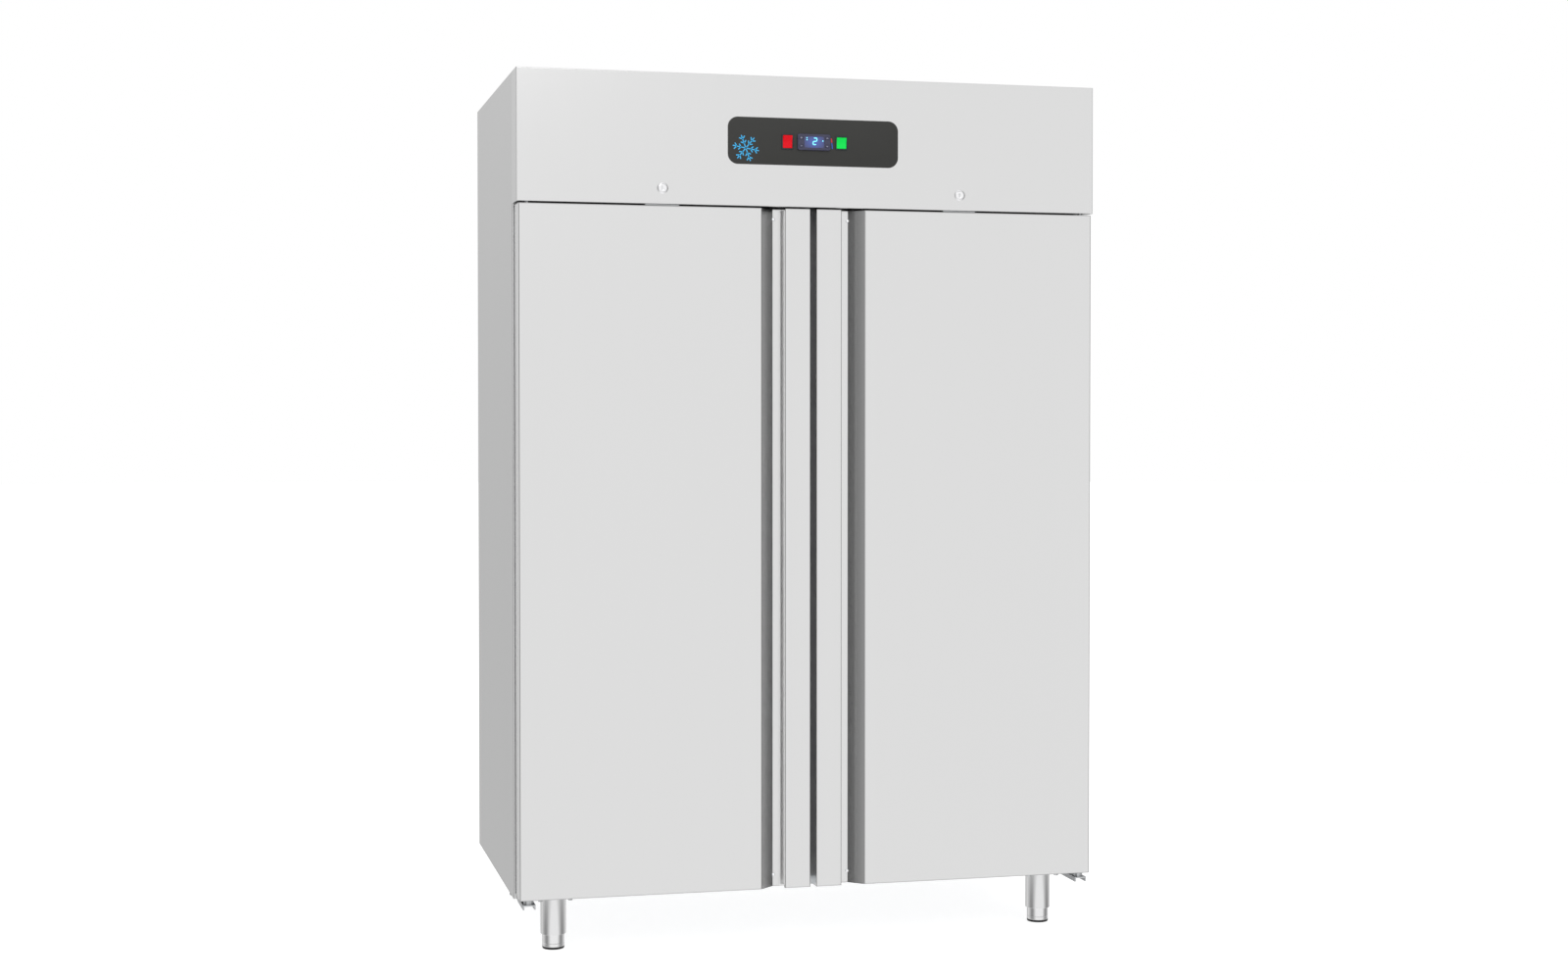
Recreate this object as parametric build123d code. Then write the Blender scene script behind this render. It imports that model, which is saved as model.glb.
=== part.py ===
from build123d import *

import os
from math import cos, hypot, pi, radians, sin, tan

# Upright two-door stainless steel refrigerator for a professional kitchen.
# All lengths are in millimetres and all angles in degrees.
# X runs to the right seen from the front, Y towards the back and Z up.
# The origin lies on the floor, under the middle of the whole cabinet.

# Overall cabinet
width = 1400.0
depth = 800.0
height = 2045.0
leg_height = 126.0
fascia_height = 305.0
sheet = 1.0
bend = 2.0

# Insulated box
wall_thickness = 60.0
floor_thickness = 70.0
ceiling_thickness = 70.0
deck_above_doors = 20.0
side_flange = 22.0
base_flange = 20.0
deck_flange = 25.0
cove_radius = 15.0
frame_depth = 30.0
mullion_width = 70.0
mullion_groove = 3.0

# Rear vents
vent_length = 230.0
vent_slot = 10.0
vent_pitch = 30.0
vent_rows = 5
vent_columns = 4
vent_below_top = 60.0
vent_column_pitch = 300.0

# Doors
door_thickness = 65.0
door_seal_gap = 15.0
door_side_inset = 4.5
door_centre_gap = 14.0
door_top_gap = 4.0
door_lift = 10.0
door_lip = 12.0
cap_height = 40.0

# Handle channel in each door
rail_width = 62.0
channel_width = 57.0
channel_depth = 30.0
channel_slope = 33.0
channel_foot = 11.0
channel_joint_gap = 2.5
grip_lip = 12.0
grip_undercut = 8.0

# Inner door panel and gasket
panel_margin = 2.0
panel_border = 50.0
panel_rise = 9.0
panel_draft = 12.0
gasket_inset = 24.0
gasket_head = 18.0
gasket_base = 13.0
gasket_waist = 8.0
gasket_head_depth = 6.0
gasket_base_depth = 3.0
seal_clearance = 0.3

# Hinges
hinge_inset = 22.0
hinge_setback = 20.0
hinge_pin_radius = 5.0
hinge_clearance = 0.05
hinge_pin_reach = 30.0
hinge_pocket_spare = 3.0
bracket_sheet = 3.0
bracket_width = 29.0
bracket_flange = 11.0
bracket_front_gap = 2.0
bracket_under_body = 70.0
bracket_taper = 55.0
hinge_collar_radius = 11.0
upper_bracket_width = 44.0
upper_bracket_height = 40.0
pin_hole_spare = 1.5

# Door locks
lock_from_side = 339.0
lock_below_top = 268.0
lock_ring_radius = 13.0
lock_ring_proud = 2.5
lock_body_radius = 11.5
lock_body_length = 22.0
lock_plug_radius = 9.5
lock_plug_recess = 0.5
lock_fit = 0.08
lock_hole_clearance = 0.2
key_slot_height = 9.0
key_slot_width = 1.6
key_slot_depth = 6.0
cam_gap = 3.0
cam_thickness = 2.5
cam_width = 14.0
cam_entry = 12.0
cam_screw_radius = 2.0
cam_screw_head = 1.5
cam_slot_clearance = 2.0

# Control plate
plate_width = 413.0
plate_height = 110.0
plate_corner = 24.0
plate_thickness = 2.0
plate_centre_below_top = 152.5
device_clearance = 0.5

# Thermostat
thermostat_width = 80.0
thermostat_height = 38.0
thermostat_edge = 1.5
thermostat_bezel = 5.0
thermostat_body_width = 70.0
thermostat_body_height = 28.0
thermostat_body_length = 58.0
display_width = 48.0
display_height = 27.0
display_recess = 1.6
display_glass = 1.2
keypad_x = 31.5
keypad_z = 9.5
keypad_width = 9.0
keypad_height = 6.5
keypad_pocket = 3.0
keypad_proud = 0.8
keypad_travel = 0.8
keypad_stop_gap = 0.2
keypad_clearance = 0.3

# Rocker switches
red_switch_x = -64.0
red_rocker_width = 22.5
red_rocker_height = 30.0
green_switch_x = 67.0
green_rocker_width = 23.5
green_rocker_height = 26.0
switch_rim = 2.2
switch_rim_proud = 2.0
switch_body_length = 26.0
switch_floor = 3.0
switch_wall = 1.5
rocker_tilt = 8.0
rocker_clearance = 0.4
rocker_front = 2.0
rocker_back = 5.0
rocker_heel = 3.5
rocker_pin_radius = 1.5
rocker_pin_length = 1.2
rocker_pin_clearance = 0.05

# Legs and feet
leg_side = 97.0
leg_front = 112.0
leg_rear = 731.0
leg_radius = 30.0
leg_wall = 1.5
leg_exposed = 35.0
leg_plate = 90.0
leg_plate_thickness = 3.0
leg_nut_height = 8.0
leg_nut_below_plate = 33.0
foot_radius = 26.0
foot_sleeve_top = 80.0
foot_stem_radius = 8.0
foot_stem_top = 120.0
foot_stem_clearance = 0.06
foot_pad_height = 5.0
foot_pad_taper = 1.2

# Shelves and their supports
shelf_side_gap = 30.0
shelf_back_gap = 2.0
shelf_levels = 3
shelf_first = 300.0
shelf_pitch = 325.0
shelf_front_gap = 8.0
shelf_rim = 8.0
shelf_wire = 5.0
shelf_wires = 7
post_width = 30.0
post_depth = 25.0
post_sheet = 1.5
post_gap = 2.0
post_front_inset = 90.0
post_back_inset = 90.0
post_slot_height = 22.0
post_slot_width = 8.0
post_slot_drop = 12.0
runner_ledge = 40.0
runner_height = 34.0
runner_sheet = 1.5
runner_back_gap = 4.0

# Evaporator unit under the ceiling
evaporator_half_width = 430.0
evaporator_height = 195.0
evaporator_fall = 14.0
evaporator_length = 350.0
evaporator_sheet = 1.2
evaporator_fan_x = 215.0
evaporator_fan_radius = 76.0
evaporator_fan_inset = 24.0
evaporator_fan_drop = 96.0
intake_slots = 7
intake_slot_width = 70.0
intake_slot_length = 34.0
intake_from_back = 60.0
evaporator_fins = 13
evaporator_fin_width = 3.0
evaporator_coil_depth = 110.0
evaporator_coil_height = 140.0
evaporator_coil_behind_fans = 110.0
evaporator_coil_margin = 20.0

# Fans
fan_blades = 5
fan_tip_gap = 5.0
fan_hub_radius = 21.0
fan_hub_length = 20.0
fan_root_chord = 22.0
fan_tip_chord = 46.0
fan_root_pitch = 48.0
fan_tip_pitch = 24.0
fan_blade_thickness = 2.0
fan_camber = 0.12
fan_root_sink = 2.0
fan_nose = 4.0
motor_radius = 27.0
motor_length = 46.0
motor_gap = 1.5
motor_strap_width = 14.0
motor_strap_thickness = 3.0
motor_lead_in = 6.0
fan_shaft_radius = 3.0
fan_shaft_grip = 6.0
fan_shaft_clearance = 0.05

# Condensing unit on the deck
condenser_x = -60.0
condenser_y = 40.0
condenser_thickness = 56.0
condenser_length = 330.0
condenser_height = 236.0
condenser_fins = 13
condenser_fin_width = 4.0
condenser_core = 34.0
condenser_tube_inset = 10.0
shroud_sheet = 1.2
shroud_depth = 34.0
shroud_ring_radius = 110.0
shroud_ring_depth = 22.0
shroud_ring_wall = 2.0
condenser_fan_inset = 4.0
compressor_x = 290.0
compressor_y = 60.0
compressor_radius = 92.0
compressor_height = 196.0
compressor_seam = 5.0
compressor_seam_height = 10.0
compressor_dome = 42.0
compressor_dome_shoulder = 0.82
compressor_dome_top = 0.45
compressor_base_rise = 24.0
compressor_base_width = 0.72
compressor_foot_span = 170.0
compressor_foot_width = 34.0
compressor_foot_sheet = 3.0
grommet_height = 16.0
grommet_radius = 13.0
grommet_neck = 8.0
terminal_box_width = 58.0
terminal_box_height = 54.0
terminal_box_depth = 26.0
pipe_radius = 5.0
suction_radius = 8.0
pipe_top_gap = 22.0
suction_reach = 40.0
drier_radius = 13.0
drier_length = 90.0
drier_neck = 16.0
electrical_from_side = 270.0
electrical_width = 170.0
electrical_depth = 120.0
electrical_height = 95.0
gland_radius = 11.0
gland_length = 20.0
gland_bore = 5.5
gland_sides = 6
gland_hole_clearance = 1.0

# Sides of each kind of turned piece
leg_sides = 18
tube_sides = 12
stem_sides = 10
lock_sides = 20
small_sides = 8
fan_sides = 20
motor_sides = 12
can_sides = 14
pipe_sides = 6

# Worked out from the sizes above
skin_bends = [0, bend, bend, 0]
grip_bends = [0, 0, 0, bend, bend, 0]
LEFT = 1
RIGHT = -1
half = width / 2
rocker_reach = max(red_rocker_height, green_rocker_height) / 2
rocker_slope = rocker_front + rocker_reach * tan(radians(rocker_tilt))
rocker_proud = rocker_slope * cos(radians(rocker_tilt)) + rocker_reach * sin(radians(rocker_tilt))
front_proud = plate_thickness + max(thermostat_bezel + keypad_proud, rocker_proud)
front = (front_proud - depth) / 2
back = front + depth
body_front = front + door_thickness + door_seal_gap
body_bottom = leg_height
fascia_bottom = height - fascia_height
deck_z = fascia_bottom + deck_above_doors
door_top = fascia_bottom - door_top_gap
door_bottom = body_bottom + door_lift
door_left = -half + door_side_inset
door_right = -door_centre_gap / 2
cavity_half = half - wall_thickness
cavity_back = back - wall_thickness
cavity_bottom = body_bottom + floor_thickness
cavity_top = deck_z - ceiling_thickness
frame_back = body_front + frame_depth
mullion_half = mullion_width / 2
rail_left = door_right - rail_width
channel_left = rail_left - channel_width
pin_x = door_left + hinge_inset
pin_y = front + hinge_setback
lock_x = -half + lock_from_side
lock_z = height - lock_below_top
cam_length = lock_z - door_top + cam_entry
cam_front = front + lock_body_length + cam_gap
control_z = height - plate_centre_below_top
plate_front = front - plate_thickness
section_middle = -(cavity_half) / 2
shelf_front = body_front + shelf_front_gap
shelf_depth = cavity_back - shelf_back_gap - shelf_front
runner_z = cavity_bottom + shelf_first
evaporator_back = cavity_back - cove_radius - sheet
evaporator_front = evaporator_back - evaporator_length
evaporator_fan_z = cavity_top - evaporator_fan_drop
evaporator_fan_y = evaporator_front + evaporator_fan_inset
condenser_fan_x = condenser_x + condenser_thickness / 2 + shroud_depth + condenser_fan_inset
condenser_fan_z = deck_z + sheet + condenser_height / 2
compressor_z = deck_z + sheet + grommet_height
electrical_x = -half + electrical_from_side
electrical_back = back - sheet - gland_length
gland_z = deck_z + sheet + electrical_height / 2


def block(low, high):
    """Box between two opposite corners."""
    size = [b - a for a, b in zip(low, high)]
    middle = [(a + b) / 2 for a, b in zip(low, high)]
    return Pos(*middle) * Box(*size)


def rod(start, end, radius):
    """Round bar from one point to another."""
    along = Vector(*end) - Vector(*start)
    return extrude(Plane(start, z_dir=along) * Circle(radius), along.length)


def both_sides(piece):
    """The piece and its mirror image across the middle of the cabinet."""
    return [piece, mirror(piece, about=Plane.YZ)]


def group(pieces):
    """Several separate solids kept together in one named piece."""
    return Compound(children=[solid for piece in pieces for solid in piece.solids()])


def offset_corners(corners, distance):
    """Corners of a line that runs beside the given one, to its left for a positive distance."""
    points = [Vector(*corner) for corner in corners]
    normals = []
    for start, end in zip(points, points[1:]):
        run = (end - start).normalized()
        normals.append(Vector(-run.Y, run.X))
    moved = [points[0] + normals[0] * distance]
    for corner, first, second in zip(points[1:], normals, normals[1:]):
        between = first + second
        moved.append(corner + between * (distance / between.dot(first)))
    moved.append(points[-1] + normals[-1] * distance)
    return [(point.X, point.Y) for point in moved]


def folded_section(corners, thickness, bends, side):
    """Section of a bent sheet beside a line of corners on its face, with an inner bend radius for each."""
    other = offset_corners(corners, thickness * side)
    near, far = [], []
    for before, corner, after, inner in zip(corners, corners[1:], corners[2:], bends):
        first = Vector(*corner) - Vector(*before)
        second = Vector(*after) - Vector(*corner)
        outer = inner + thickness if inner else 0
        outside = first.cross(second).Z * side > 0
        near.append(outer if outside else inner)
        far.append(inner if outside else outer)
    lines = []
    for points, radii in ((corners, near), (other, far)):
        line = FilletPolyline(*points, radius=radii) if any(radii) else Polyline(*points)
        lines += line.edges()
    ends = [Line(corners[0], other[0]), Line(corners[-1], other[-1])]
    return make_face([*lines, *ends])


def prism(start, end, radius, flats):
    """Straight many-sided bar from one point to another, with its corners at a radius."""
    along = Vector(*end) - Vector(*start)
    return extrude(Plane(start, z_dir=along) * RegularPolygon(radius, flats), along.length)


def flat_sided(rings):
    """Solid with flat triangles between rings of corners, closed at both ends."""
    faces = [Face(Wire.make_polygon(rings[0])), Face(Wire.make_polygon(rings[-1]))]
    for inner, outer in zip(rings, rings[1:]):
        for step in range(len(inner)):
            after = (step + 1) % len(inner)
            faces.append(Face(Wire.make_polygon([inner[step], inner[after], outer[step]])))
            faces.append(Face(Wire.make_polygon([inner[after], outer[after], outer[step]])))
    return Solid(Shell(faces))


def turned(levels, flats):
    """Many-sided shape about the Z axis through pairs of a radius and a height."""
    angles = [2 * pi * step / flats for step in range(flats)]
    rings = [[Vector(r * cos(turn), r * sin(turn), z) for turn in angles] for r, z in levels]
    return flat_sided(rings)


def corner_radius(inner_radius, flats):
    """Radius at the corners of a many-sided hole that clears a round bar."""
    return inner_radius / cos(pi / flats)


def cut_corners(low, high, size, axis):
    """Box between two corners with its four edges along one axis cut at a slant."""
    box = block(low, high)
    return chamfer(box.edges().filter_by(axis), size)


# Body shell


def side_panel():
    """Left side: one tall sheet folded inwards at the front and at the back."""
    corners = [
        (-half + side_flange, body_front),
        (-half, body_front),
        (-half, back),
        (-half + side_flange, back),
    ]
    section = folded_section(corners, sheet, [bend, 0], RIGHT)
    return Pos(0, 0, body_bottom) * extrude(section, height - body_bottom)


def tray(bottom, flange, sides):
    """Sheet between the side panels with its front and back edges turned up."""
    corners = [
        (body_front, bottom + flange),
        (body_front, bottom),
        (back - 2 * sheet, bottom),
        (back - 2 * sheet, bottom + flange),
    ]
    section = Plane.YZ * folded_section(corners, sheet, [0, 0], LEFT)
    return extrude(section, half - sheet - bend, both=True) - sides


def back_panel():
    """Back sheet with rows of pressed vents behind the machine space."""
    reach = half - sheet - bend
    panel = block((-reach, back - 2 * sheet, body_bottom), (reach, back - sheet, height))
    slots = GridLocations(vent_column_pitch, vent_pitch, vent_columns, vent_rows)
    vents_z = height - vent_below_top - vent_pitch * (vent_rows - 1) / 2
    outline = Sketch() + [place * Rectangle(vent_length, vent_slot) for place in slots]
    cutter = extrude(Plane.XZ * Pos(0, vents_z) * outline, 2 * back, both=True)
    hole = gland_radius + gland_hole_clearance
    lead_hole = prism(
        (electrical_x, electrical_back, gland_z), (electrical_x, depth, gland_z), hole, small_sides
    )
    return panel - cutter - lead_hole


def frame_envelope():
    """Space that the door frame takes up in front of the insulation."""
    reach = half - side_flange
    return block((-reach, body_front, body_bottom + base_flange), (reach, frame_back, deck_z))


def door_frame():
    """Thermal-break frame round both door openings, with the mullion between them."""
    opening = cut_corners(
        (-cavity_half, body_front, cavity_bottom),
        (-mullion_half, frame_back, cavity_top),
        cove_radius,
        Axis.Y,
    )
    frame = frame_envelope() - both_sides(opening)
    groove = mullion_half / 2
    for x in (-groove, groove):
        frame -= block(
            (x - mullion_groove / 2, body_front, cavity_bottom),
            (x + mullion_groove / 2, body_front + mullion_groove, cavity_top),
        )
    return frame


def cavity_block(wall, end):
    """Block as large as the food space plus a wall on each side, with slanted inner corners."""
    space = block(
        (-cavity_half - wall, frame_back, cavity_bottom - wall),
        (cavity_half + wall, cavity_back + end, cavity_top + wall),
    )
    front_edges = space.faces().sort_by(Axis.Y)[0].edges()
    return chamfer(space.edges() - front_edges, cove_radius + wall)


def inner_liner():
    """Stainless liner of the food space with slanted corners, open at the front."""
    return cavity_block(sheet, sheet) - cavity_block(0, 0)


def insulation_foam(neighbours):
    """Foam that fills the walls between the outer sheets and the liner."""
    foam = block(
        (-half + sheet, body_front + sheet, body_bottom + sheet),
        (half - sheet, back - 2 * sheet, deck_z),
    )
    return foam - frame_envelope() - cavity_block(sheet, sheet) - neighbours


# Fascia and controls


def cam_slot_cutter(low_z, high_z):
    """Slot that the left lock's cam swings through, between two levels."""
    reach = (cam_length**2 - (lock_z - low_z) ** 2) ** 0.5 if low_z > lock_z - cam_length else 0
    reach = max(reach, (cam_length**2 - (lock_z - high_z) ** 2) ** 0.5)
    return block(
        (lock_x - cam_width / 2 - cam_slot_clearance, cam_front - cam_slot_clearance, low_z),
        (
            lock_x + reach + cam_slot_clearance,
            cam_front + cam_thickness + cam_slot_clearance,
            high_z,
        ),
    )


def fascia_panel():
    """Folded front cover of the machine space, open behind and mostly open on top."""
    shell = block((-half, front, fascia_bottom), (half, body_front, height))
    shell = fillet(shell.faces().sort_by(Axis.Y)[0].edges(), bend)
    shell -= block(
        (-half + sheet, front + sheet, fascia_bottom + sheet),
        (half - sheet, body_front, height - sheet),
    )
    shell -= block(
        (-half + side_flange, front + side_flange, height - sheet),
        (half - side_flange, body_front, height),
    )
    for x in (lock_x, -lock_x):
        hole = corner_radius(lock_body_radius + lock_hole_clearance, motor_sides)
        shell -= prism((x, front - sheet, lock_z), (x, front + 2 * sheet, lock_z), hole, motor_sides)
    for x in (pin_x, -pin_x):
        hole = corner_radius(hinge_pin_radius + pin_hole_spare, small_sides)
        low, high = fascia_bottom - sheet, fascia_bottom + 2 * sheet
        shell -= prism((x, pin_y, low), (x, pin_y, high), hole, small_sides)
    shell -= both_sides(cam_slot_cutter(fascia_bottom - sheet, fascia_bottom + 2 * sheet))
    return shell - device_cutters()


def device_cutters():
    """Cut-outs for the thermostat and both switches, through the fascia and the plate."""
    sizes = [
        (0, thermostat_body_width, thermostat_body_height),
        (red_switch_x, *switch_body_size(red_rocker_width, red_rocker_height)),
        (green_switch_x, *switch_body_size(green_rocker_width, green_rocker_height)),
    ]
    cutters = []
    for x, across, up in sizes:
        across_half = across / 2 + device_clearance
        up_half = up / 2 + device_clearance
        cutters.append(
            block(
                (x - across_half, plate_front - sheet, control_z - up_half),
                (x + across_half, front + 2 * sheet, control_z + up_half),
            )
        )
    return cutters


def control_plate():
    """Dark plate with large rounded corners, stuck to the middle of the fascia."""
    outline = Pos(0, control_z) * RectangleRounded(plate_width, plate_height, plate_corner)
    plate = Pos(0, front, 0) * extrude(Plane.XZ * outline, plate_thickness)
    return plate - device_cutters()


def face_plate(x, z, across, up, y_from, y_to):
    """Flat piece in the fascia's plane, between two depths."""
    return block((x - across / 2, y_from, z - up / 2), (x + across / 2, y_to, z + up / 2))


def keypad_places():
    """The four corners of the thermostat's face where its keys sit."""
    return [(x, control_z + z) for z in (keypad_z, -keypad_z) for x in (-keypad_x, keypad_x)]


def thermostat_housing():
    """Thermostat case: a bezel in front of the plate and a body behind the fascia."""
    bezel_front = plate_front - thermostat_bezel
    bezel = face_plate(
        0, control_z, thermostat_width, thermostat_height, bezel_front, plate_front
    )
    bezel = chamfer(bezel.faces().sort_by(Axis.Y)[0].edges(), thermostat_edge)
    body_back = plate_front + thermostat_body_length
    housing = bezel + face_plate(
        0, control_z, thermostat_body_width, thermostat_body_height, plate_front, body_back
    )
    recess = bezel_front + display_recess
    housing -= face_plate(0, control_z, display_width, display_height, bezel_front, recess)
    for x, z in keypad_places():
        across = keypad_width + 2 * keypad_clearance
        up = keypad_height + 2 * keypad_clearance
        housing -= face_plate(x, z, across, up, bezel_front, bezel_front + keypad_pocket)
    return housing


def display_window():
    """Flat lens that fills the recess in the thermostat's bezel."""
    recess = plate_front - thermostat_bezel + display_recess
    return face_plate(0, control_z, display_width, display_height, recess - display_glass, recess)


def keypad_key(x, z):
    """One push key of the thermostat, standing a little out of its pocket."""
    outer = plate_front - thermostat_bezel - keypad_proud
    pocket = plate_front - thermostat_bezel + keypad_pocket
    inner = pocket - keypad_travel - keypad_stop_gap
    return face_plate(x, z, keypad_width, keypad_height, outer, inner)


def rocker_corner(rocker_height):
    """Distance from a rocker's pivot to the front corner of its end."""
    proud = rocker_front + rocker_height / 2 * tan(radians(rocker_tilt))
    return hypot(proud, rocker_height / 2)


def switch_body_size(rocker_width, rocker_height):
    """Outer width and height of a switch body behind the plate."""
    pocket_half = rocker_corner(rocker_height) + rocker_clearance
    return (
        rocker_width + 2 * rocker_clearance + 2 * switch_wall,
        2 * pocket_half + 2 * switch_wall,
    )


def switch_frame(x, rocker_width, rocker_height):
    """Fixed body of a rocker switch: a rim in front of the plate and a box behind it."""
    across, up = switch_body_size(rocker_width, rocker_height)
    rim_front = plate_front - switch_rim_proud
    body_back = plate_front + switch_body_length
    rim = face_plate(
        x, control_z, across + switch_rim, up + switch_rim, rim_front, plate_front
    )
    rim = chamfer(rim.faces().sort_by(Axis.Y)[0].edges(), switch_rim_proud / 2)
    body = face_plate(x, control_z, across, up, plate_front, body_back)
    pocket = face_plate(
        x,
        control_z,
        across - 2 * switch_wall,
        up - 2 * switch_wall,
        rim_front,
        body_back - switch_floor,
    )
    bearing = prism(
        (x - across / 2, plate_front, control_z),
        (x + across / 2, plate_front, control_z),
        corner_radius(rocker_pin_radius + rocker_pin_clearance, small_sides),
        small_sides,
    )
    return rim + body - pocket - bearing


def rocker(x, rocker_width, rocker_height):
    """Rocker with a shallow V face, tipped about its pivot so that its upper half stands out."""
    reach = rocker_height / 2
    proud = rocker_front + reach * tan(radians(rocker_tilt))
    face = Polyline(
        (-proud, reach),
        (-rocker_front, 0),
        (-proud, -reach),
        (rocker_back / 2, -reach + rocker_heel),
        (rocker_back, -rocker_heel),
        (rocker_back, rocker_heel),
        (rocker_back / 2, reach - rocker_heel),
        (-proud, reach),
    )
    section = make_face(face.edges())
    solid = extrude(Plane.YZ * section, rocker_width / 2, both=True)
    pin_end = rocker_width / 2 + rocker_pin_length
    solid += prism((-pin_end, 0, 0), (pin_end, 0, 0), rocker_pin_radius, small_sides)
    return Pos(x, plate_front, control_z) * Rot(rocker_tilt, 0, 0) * solid


# Locks


def lock_barrel():
    """Fixed barrel of the left lock with its flange against the fascia."""
    ring_y = front - lock_ring_proud
    tail_y = front + lock_body_length
    flange = prism((lock_x, ring_y, lock_z), (lock_x, front, lock_z), lock_ring_radius, lock_sides)
    body = prism((lock_x, front, lock_z), (lock_x, tail_y, lock_z), lock_body_radius, motor_sides)
    hole = corner_radius(lock_plug_radius + lock_fit, lock_sides)
    bore = prism((lock_x, ring_y, lock_z), (lock_x, tail_y, lock_z), hole, lock_sides)
    return flange + body - bore


def lock_plug():
    """Turning plug of the left lock with its key slot, and the cam screwed to its tail."""
    face_y = front - lock_ring_proud + lock_plug_recess
    plug = prism((lock_x, face_y, lock_z), (lock_x, cam_front, lock_z), lock_plug_radius, lock_sides)
    plug -= block(
        (lock_x - key_slot_width / 2, face_y, lock_z - key_slot_height / 2),
        (lock_x + key_slot_width / 2, face_y + key_slot_depth, lock_z + key_slot_height / 2),
    )
    cam = cut_corners(
        (lock_x - cam_width / 2, cam_front, lock_z - cam_width / 2),
        (lock_x + cam_length, cam_front + cam_thickness, lock_z + cam_width / 2),
        cam_width / 3,
        Axis.Y,
    )
    cam_back = cam_front + cam_thickness
    screw = rod((lock_x, cam_back, lock_z), (lock_x, cam_back + cam_screw_head, lock_z), cam_screw_radius)
    return plug + cam + screw


# Doors


def skin_corners():
    """Corners of the left door skin's outer face, as X and Y."""
    back_y = front + door_thickness
    foot_y = front + channel_depth + sheet
    foot_x = channel_left + channel_slope * (channel_depth + sheet) / channel_depth
    return [
        (door_left + door_lip, back_y),
        (door_left, back_y),
        (door_left, front),
        (channel_left, front),
        (foot_x, foot_y),
        (foot_x + channel_foot, foot_y),
    ]


def grip_corners():
    """Corners of the grip profile's outer face: channel floor, undercut, rail and free edge."""
    floor_y = front + channel_depth
    back_y = front + door_thickness
    start_x = channel_left + channel_slope + channel_joint_gap
    return [
        (start_x, floor_y),
        (rail_left + grip_undercut, floor_y),
        (rail_left + grip_undercut, front + grip_lip),
        (rail_left, front + grip_lip),
        (rail_left, front),
        (door_right, front),
        (door_right, back_y),
        (door_right - door_lip, back_y),
    ]


def skin_section():
    """Section of the left door's skin."""
    return folded_section(skin_corners(), sheet, skin_bends, LEFT)


def grip_section():
    """Section of the left door's grip profile."""
    return folded_section(grip_corners(), sheet, grip_bends, LEFT)


def cut_line(corners, cuts):
    """Corners of a line with some of them cut off, each at its own distance along both sides."""
    points = [Vector(*corners[0])]
    for before, corner, after, cut in zip(corners, corners[1:], corners[2:], cuts):
        here = Vector(*corner)
        if cut:
            sides = (Vector(*before), Vector(*after))
            points += [here + (side - here).normalized() * cut for side in sides]
        else:
            points.append(here)
    return [*points, Vector(*corners[-1])]


def core_section():
    """Section of the space between the skin, the grip profile and the inner panel."""
    skin_inner = offset_corners(skin_corners(), sheet)
    grip_inner = offset_corners(grip_corners(), sheet)
    back_y = front + door_thickness
    outline = [
        (door_left + door_lip, back_y),
        *cut_line(skin_inner, skin_bends),
        (skin_inner[-1][0], grip_inner[0][1]),
        *cut_line(grip_inner, grip_bends)[1:],
        (door_right - door_lip, back_y),
    ]
    return make_face(Polyline(*outline, close=True).edges())


def along_door(section, low, high):
    """Extrude a horizontal section up the door, between two heights."""
    return Pos(0, 0, low) * extrude(section, high - low)


def core_blocks(low, high):
    """Core of the left door between two heights, as four blocks: main, channel, lip and rail."""
    core = along_door(core_section(), low, high)
    foot_x = offset_corners(skin_corners(), sheet)[-2][0]
    wall_x = rail_left + grip_undercut + sheet
    undercut_y = front + (grip_lip + channel_depth) / 2
    regions = [
        ((door_left, front), (foot_x, body_front)),
        ((foot_x, undercut_y), (wall_x, body_front)),
        ((foot_x, front), (wall_x, undercut_y)),
        ((wall_x, front), (door_right, body_front)),
    ]
    return [core & block((*near, low), (*far, high)) for near, far in regions]


def door_skin():
    """Front sheet of the left door: hinge edge, front face and sloping wall of the grip channel."""
    return along_door(skin_section(), door_bottom, door_top)


def grip_profile():
    """Folded strip of the left door: channel floor, undercut finger grip, rail and free edge."""
    return along_door(grip_section(), door_bottom, door_top)


def panel_frustum(thickness):
    """Raised middle of the left inner door panel, grown by the sheet's thickness."""
    across = door_right - door_left - 2 * (panel_border - thickness)
    up = door_top - door_bottom - 2 * (panel_border - thickness)
    centre = ((door_left + door_right) / 2, front + door_thickness, (door_bottom + door_top) / 2)
    base = Plane(centre, x_dir=(1, 0, 0), z_dir=(0, 1, 0))
    foot = base * Rectangle(across, up)
    top = base.offset(panel_rise + thickness) * Rectangle(
        across - 2 * panel_draft, up - 2 * panel_draft
    )
    return loft([foot, top], ruled=True)


def door_panel():
    """Inner panel of the left door: a flat border with a raised middle."""
    border = block(
        (door_left + panel_margin, front + door_thickness, door_bottom + panel_margin),
        (door_right - panel_margin, front + door_thickness + sheet, door_top - panel_margin),
    )
    return border + panel_frustum(sheet) - panel_frustum(0)


def door_foam():
    """Foam core of the left door: blocks round the channel, and one in the inner panel's middle."""
    return group([*core_blocks(door_bottom + cap_height, door_top - cap_height), panel_frustum(0)])


def gasket_ring(width_here, y_from, y_to):
    """Rectangular ring of the gasket, centred on its magnet, between two depths."""
    outer = gasket_inset + (gasket_head - width_here) / 2
    inner = outer + width_here
    ring = block(
        (door_left + outer, y_from, door_bottom + outer),
        (door_right - outer, y_to, door_top - outer),
    )
    return ring - block(
        (door_left + inner, y_from, door_bottom + inner),
        (door_right - inner, y_to, door_top - inner),
    )


def door_gasket():
    """Magnetic gasket of the left door: a base, a narrow bellows and a head that seals."""
    start = front + door_thickness + sheet
    end = body_front - seal_clearance
    base_end = start + gasket_base_depth
    head_start = end - gasket_head_depth
    gasket = gasket_ring(gasket_base, start, base_end)
    gasket += gasket_ring(gasket_waist, base_end, head_start)
    return gasket + gasket_ring(gasket_head, head_start, end)


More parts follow.
